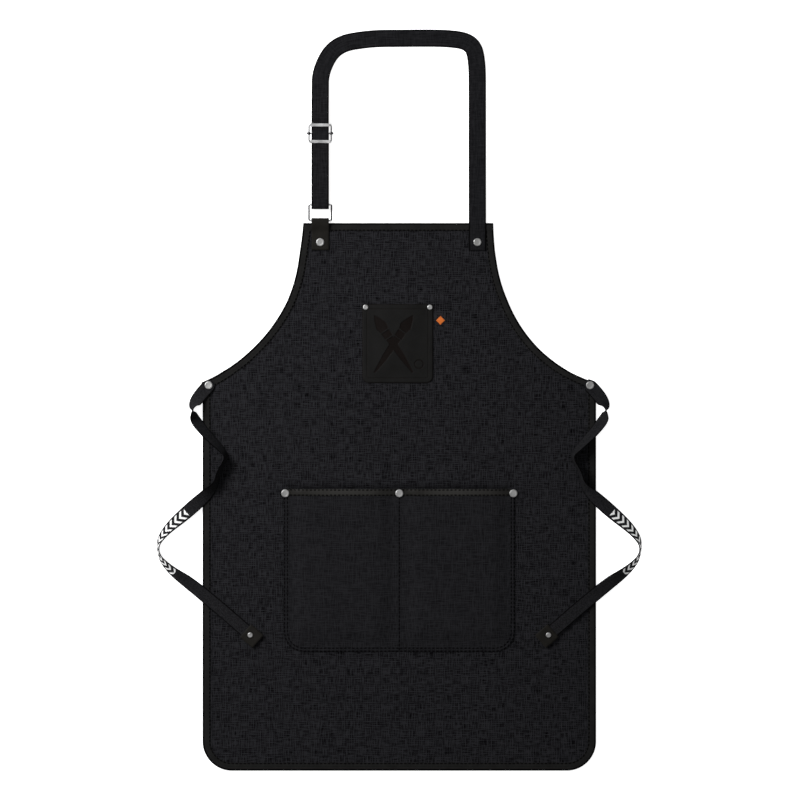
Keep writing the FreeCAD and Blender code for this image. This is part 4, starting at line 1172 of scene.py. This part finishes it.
# Each part of a brush as heights along it and its half width at each of them.
BRUSH_HANDLE = mm(-42.0, -20.0, 8.0, 9.0), mm(1.4, 4.0, 5.0, 5.0)
BRUSH_FERRULE = mm(10.2, 18.6), mm(5.8, 5.8)
BRUSH_TIP = mm(20.0, 27.0, 36.0, 44.0), mm(5.8, 7.6, 4.4, 0.0)
MOTIF_SCALE = 1.22
MOTIF_MIDDLE = mm(-6.0, 84.0)
MOTIF_TURN = 34.0
MARK_MIDDLE = mm(32.0, 54.0)
MARK_RADIUS = mm(6.4)
MARK_HALF = mm(1.1)


def brush_shape(x, y, turn):
    """How deep a place lies inside a plain artist's brush, tip up, turned about the motif's middle."""
    angle = math.radians(turn)
    side = np.abs(x * math.cos(angle) + y * math.sin(angle))
    along = -x * math.sin(angle) + y * math.cos(angle)
    deepest = np.full_like(x, -1.0)
    for heights, widths in (BRUSH_HANDLE, BRUSH_FERRULE, BRUSH_TIP):
        here = (along > heights[0]) & (along < heights[-1])
        deepest = np.maximum(deepest, np.where(here, np.interp(along, heights, widths) - side, -1.0))
    return deepest


def chest_lift(x, y):
    """How far the leather pocket's middle stands off the cloth."""
    side = CHEST_HALF - CHEST_MARGIN
    depth = inside_depth(x, y, -side, side, CHEST_LOW + CHEST_MARGIN, CHEST_ROUND)
    return CHEST_LIFT * smooth_step(depth / CHEST_SLOPE)


def chest_stamp(x, y):
    """Two crossed brushes and a small ring pressed into the leather: 0 outside them, 1 inside."""
    motif_x, motif_y = (x - MOTIF_MIDDLE[0]) / MOTIF_SCALE, (y - MOTIF_MIDDLE[1]) / MOTIF_SCALE
    brushes = [brush_shape(motif_x, motif_y, turn) for turn in (MOTIF_TURN, -MOTIF_TURN)]
    ring_mark = MARK_HALF - np.abs(np.hypot(x - MARK_MIDDLE[0], y - MARK_MIDDLE[1]) - MARK_RADIUS)
    return smooth_step(np.maximum.reduce([*brushes, ring_mark]) / mm(0.9))


def chest_pocket():
    """Leather pocket with rounded edges, a pressed border line, the pressed motif and painted shade along its
    edge.
    """
    x, y = pouch_grid(CHEST_HALF, CHEST_TOP, CHEST_LOW, CHEST_ROUND, 236, 212)
    edge = inside_depth(x, y, -CHEST_HALF, CHEST_HALF, CHEST_LOW, CHEST_ROUND)
    edge = np.minimum(edge, CHEST_TOP - y)
    border = mm(0.45) * hump(edge, CHEST_BORDER, mm(0.7))
    rounded = mm(0.8) * (1.0 - smooth_step(edge / mm(1.8)))
    stamp = chest_stamp(x, y)
    low = 2 * CLOTH + chest_lift(x, y)
    uneven = mm(0.10) * ripple(x, y, seed=41, length=mm(30.0))
    top = low + CHEST_LEATHER - border - rounded - mm(0.6) * stamp + uneven
    placed = x + CHEST_SLIP
    piece = new_piece("chest_leather", layered(places(placed, y, top), places(placed, y, low)),
                      PATCH_LEATHER, ["chest_pocket"], "apron")
    # Painted shade along the leather's rounded edge; the stamp and border line are darker pressed leather.
    painted_edge_shade = 0.8 * (1.0 - smooth_step(edge / mm(1.2)))
    add_pressed_and_shade(piece, np.maximum.reduce([stamp, 0.35 * hump(edge, CHEST_BORDER, mm(0.8)), painted_edge_shade]))


def accent_mark():
    """Small embroidered diamond: a domed field of satin stitches."""
    low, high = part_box("accent_mark")
    centre, half = middle_of("accent_mark"), (high.x - low.x) / 2
    span = np.linspace(-1.0, 1.0, 41)
    u, v = np.meshgrid(span, span)
    x, y = (u + v) / 2 * half, (v - u) / 2 * half
    edge = 1.0 - np.maximum(np.abs(u), np.abs(v))
    dome = mm(0.5) * smooth_step(edge / 0.25) + mm(0.08) * np.cos(2 * math.pi * x / mm(1.0))
    shape = layered(places(centre.x + x, centre.y + y, low.z + mm(0.12) + dome),
                    places(centre.x + x, centre.y + y, np.full_like(x, low.z)))
    new_piece("diamond_mark", shape, ORANGE_THREAD, ["accent_mark"], "apron")


# ---------------------------------------------------------------- neck strap, tab and strap return

STRAP_THICK = mm(1.6)
LEFT_RUN = -118.5
RIGHT_RUN = 117.0
STRAP_LEFT, STRAP_RIGHT = mm(LEFT_RUN, RIGHT_RUN)
SLIDER_ALONG = 399.4
RING_ALONG = 281.1
RING_HEIGHT = mm(5.5)


def strap_piece(name, route, nodes, thick=STRAP_THICK, material=STRAP_CLOTH,
                steps=10, edge=None, lift=None, body=None):
    """A ribbon as wide as the strap along a route in millimetres, level all the way."""
    route = [tuple(mm(*place)) for place in route]
    centre, across, outward = ribbon_frame(route, [0.0] * len(route), STRAP_WIDTH / 2, steps)
    section = webbing_section(STRAP_WIDTH, thick, edge or thick * 0.6)
    raised = None if lift is None else lift(centre, section) * np.sign(outward[:, 2:])
    shape = ribbon_mesh(centre, across, outward, section, raised)
    piece = new_piece(name, shape, material, nodes, body)
    add_length_map(piece, section, centre)
    return piece


def corner_puckers(centre, section):
    """Small gathers where the flat strap is turned round its two top corners."""
    reach, pitch, depth = mm(26.0, 8.5, 0.9)
    wave = 0.5 + 0.5 * np.sin(2 * math.pi * travelled(centre) / pitch)
    towards_edge = 0.3 + 0.7 * (np.abs(section[:, 0]) / (STRAP_WIDTH / 2))
    near = sum(hump(centre[:, 0], corner * 0.9, reach) * hump(centre[:, 1], up, reach)
               for corner, up in ((STRAP_LEFT, mm(516.0)), (STRAP_RIGHT, mm(522.0))))
    return depth * (near * wave)[:, None] * towards_edge


def neck_strap():
    """The strap in one piece: riveted end, over the bib's edge, round the neck, to the ring."""
    left, right, top = LEFT_RUN, RIGHT_RUN, 542.4
    route = [
        (right, 224.2, 2.6), (right, 240.0, 2.6), (right, 253.0, 2.9), (right, 262.0, 3.3),
        (right, 276.0, 3.2), (right, 300.0, 2.4), (right, 330.0, 0.9), (right, 420.0, 0.85),
        (right, 460.0, 0.85), (right - 0.2, 507.0, 0.85), (110.0, 535.0, 0.85), (80.0, top + 0.8, 0.85),
        (0.0, top + 0.5, 0.85), (-46.0, top, 0.85), (-96.0, 533.5, 0.9), (left, 494.0, 0.9),
        (left, 458.0, 3.0), (left, 436.0, 8.4), (left, 380.0, 8.4), (left, 320.0, 8.4),
        (left, 297.0, 8.4), (left, 287.0, 8.4), (left, 287.0, 2.6), (left, 299.0, 2.6),
    ]
    strap = strap_piece("neck_strap_webbing", route, ("neck_strap", "neck_strap_fold", "neck_strap_end"),
                        lift=corner_puckers)
    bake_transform(strap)


def strap_return():
    """Short run back from the ring, looped round the slider's centre bar and sewn to itself."""
    left, loop = LEFT_RUN, SLIDER_ALONG
    route = [
        (left, 299.5, 2.6), (left, 330.0, 2.6), (left, 365.0, 2.6), (left, 392.0, 2.6),
        (left, loop + 2.4, 2.6), (left, loop + 2.4, 6.6), (left, 392.0, 6.6), (left, 384.0, 6.2),
        (left, 377.0, 4.4), (left, 366.0, 4.3),
    ]
    piece = strap_piece("strap_return_webbing", route, ("strap_return",), steps=8)
    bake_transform(piece)


def strap_tab():
    """Leather tab riveted to the bib and folded through the ring."""
    left = LEFT_RUN
    route = [
        (left, 225.2, 2.1), (left, 240.0, 2.1), (left, 253.0, 2.4), (left, 262.0, 2.9), (left, 272.4, 2.8),
        (left, 272.6, 8.2), (left, 263.0, 7.4), (left, 256.0, 4.2), (left, 250.0, 3.15),
        (left, 238.0, 3.1), (left, 225.2, 3.1),
    ]
    strap_piece("ring_tab_leather", route, ["strap_tab"], thick=mm(1.0), material=TAB_LEATHER,
                edge=mm(0.45), body="apron")


def rounded_loop(half_x, half_y, turn):
    """Places and outward directions round a rectangle with round corners, centred on the origin."""
    spots, outward = [], []
    for quarter in range(4):
        middle = math.pi / 4 + quarter * math.pi / 2
        corner = np.array((math.copysign(half_x - turn, math.cos(middle)),
                           math.copysign(half_y - turn, math.sin(middle))))
        for step in range(9):
            angle = quarter * math.pi / 2 + step * math.pi / 16
            outward.append(np.array((math.cos(angle), math.sin(angle))))
            spots.append(corner + turn * outward[-1])
    return np.array(spots), np.array(outward)


def bulged(values, power):
    """A sine or cosine with its size raised to a power: below 1, it makes a rounder circle squarer."""
    return np.sign(values) * np.abs(values) ** power


def wire_loop(name, middle, loop, bar_half, side_half, height_half, node, body):
    """Closed frame whose bars across are flat and whose sides are thin wire."""
    spots, outward = loop
    flat = smooth_step((np.abs(outward[:, 1]) - 0.5) / 0.4)
    half = side_half + (bar_half - side_half) * flat
    angles = np.linspace(0.0, 2 * math.pi, 20, endpoint=False)
    rings = []
    for spot, direction, width, share in zip(spots, outward, half, flat):
        power = 1.0 - 0.55 * share
        ring = np.zeros((len(angles), 3))
        ring[:, :2] = spot + width * bulged(np.cos(angles), power)[:, None] * direction
        ring[:, 2] = height_half * bulged(np.sin(angles), power)
        rings.append(ring)
    points, faces = swept(np.array(rings) + np.array(middle))
    around = len(angles)
    last = (len(rings) - 1) * around
    closing = [(last + side, last + (side + 1) % around, (side + 1) % around, side) for side in range(around)]
    piece = new_piece(name, (points, faces[:-2] + closing), WIRE_METAL, [node], body)
    store(piece, "flat", np.repeat(flat, around))


def rod(start, end, profile, sides=16):
    """A straight rod; its profile is a list of (share of its length, radius)."""
    start, end = np.array(start), np.array(end)
    axis = unit(end - start)
    aside = unit(np.cross(axis, UP if abs(axis[2]) < 0.9 else (1.0, 0.0, 0.0)))
    other = np.cross(axis, aside)
    angles = np.linspace(0.0, 2 * math.pi, sides, endpoint=False)
    return swept(np.array([[start + (end - start) * share
                            + radius * (math.cos(angle) * aside + math.sin(angle) * other)
                            for angle in angles] for share, radius in profile]))


def wire_hardware():
    """The ring, the slider's outer frame, and its centre bar with a sleeve and a pin at either end."""
    loop = rounded_loop(*mm(16.8, 11.9, 2.2))
    wire_loop("ring_wire", (STRAP_LEFT, mm(RING_ALONG), RING_HEIGHT), loop, *mm(1.5, 1.3, 1.5),
              "ring", "neck_loop")
    along, side, inner, outer, sleeve_half = mm(SLIDER_ALONG, 16.6, 14.7, 20.0, 2.1)
    frame_up, bar_up = mm(10.6, 4.6)
    loop = rounded_loop(side, *mm(12.4, 2.6))
    wire_loop("slider_outer_frame", (STRAP_LEFT, along, frame_up), loop, *mm(2.3, 1.0, 1.0),
              "slider_frame", "slider_outer")
    dome = list(zip((0.0, 0.06, 0.14, 0.86, 0.94, 1.0), mm(0.3, 0.8, 1.0, 1.0, 0.8, 0.3)))
    sleeve = list(zip((0.0, 0.08, 0.2, 0.8, 0.92, 1.0), mm(1.6, 2.3, 2.5, 2.5, 2.3, 1.6)))
    rods = [rod((STRAP_LEFT - inner, along, bar_up), (STRAP_LEFT + inner, along, bar_up), dome)]
    for hand in (-1.0, 1.0):
        riser, wire, tip = (STRAP_LEFT + hand * reach for reach in (inner, side, outer))
        rods.append(rod((riser, along, bar_up - mm(0.8)), (riser, along, frame_up + mm(0.6)), dome))
        rods.append(rod((riser, along, frame_up), (tip, along, frame_up), dome))
        rods.append(rod((wire, along - sleeve_half, frame_up), (wire, along + sleeve_half, frame_up), sleeve))
    new_piece("slider_centre_bar", merged(rods), WIRE_METAL, ["slider_bar"], "slider_centre")


# ---------------------------------------------------------------- rivets on the apron

def apron_rivets():
    """Every rivet through the apron; the height is where each front cap sits."""
    waist, chest = mm(285.75, 48.25)
    bib_up, waist_up, pocket_up, chest_up = mm(237.0, 22.5, -139.5, 139.5)
    groups = [
        ("bib", [(STRAP_LEFT, bib_up), (STRAP_RIGHT, bib_up)], mm(3.6), BIG_RIVET),
        ("waist", [(-waist, waist_up), (waist, waist_up)], mm(3.95), BIG_RIVET),
        ("pocket", [(x, pocket_up) for x in (-RIVET_SPACING, 0.0, RIVET_SPACING)], mm(3.4), BIG_RIVET),
        ("chest", [(CHEST_SLIP - chest, chest_up), (CHEST_SLIP + chest, chest_up)], mm(3.2), SMALL_RIVET),
    ]
    for group, spots, seat, sizes in groups:
        rivets(group + "_rivet_caps", group + "_rivets", "apron", spots, seat, **sizes)


panel = cloth_panel()
edge_bands()
edge_stitches()
pocket = lower_pocket()
pocket_stitches()
pocket_mouth_band()
chest_pocket()
accent_mark()
neck_strap()
strap_return()
strap_tab()
wire_hardware()
apron_rivets()
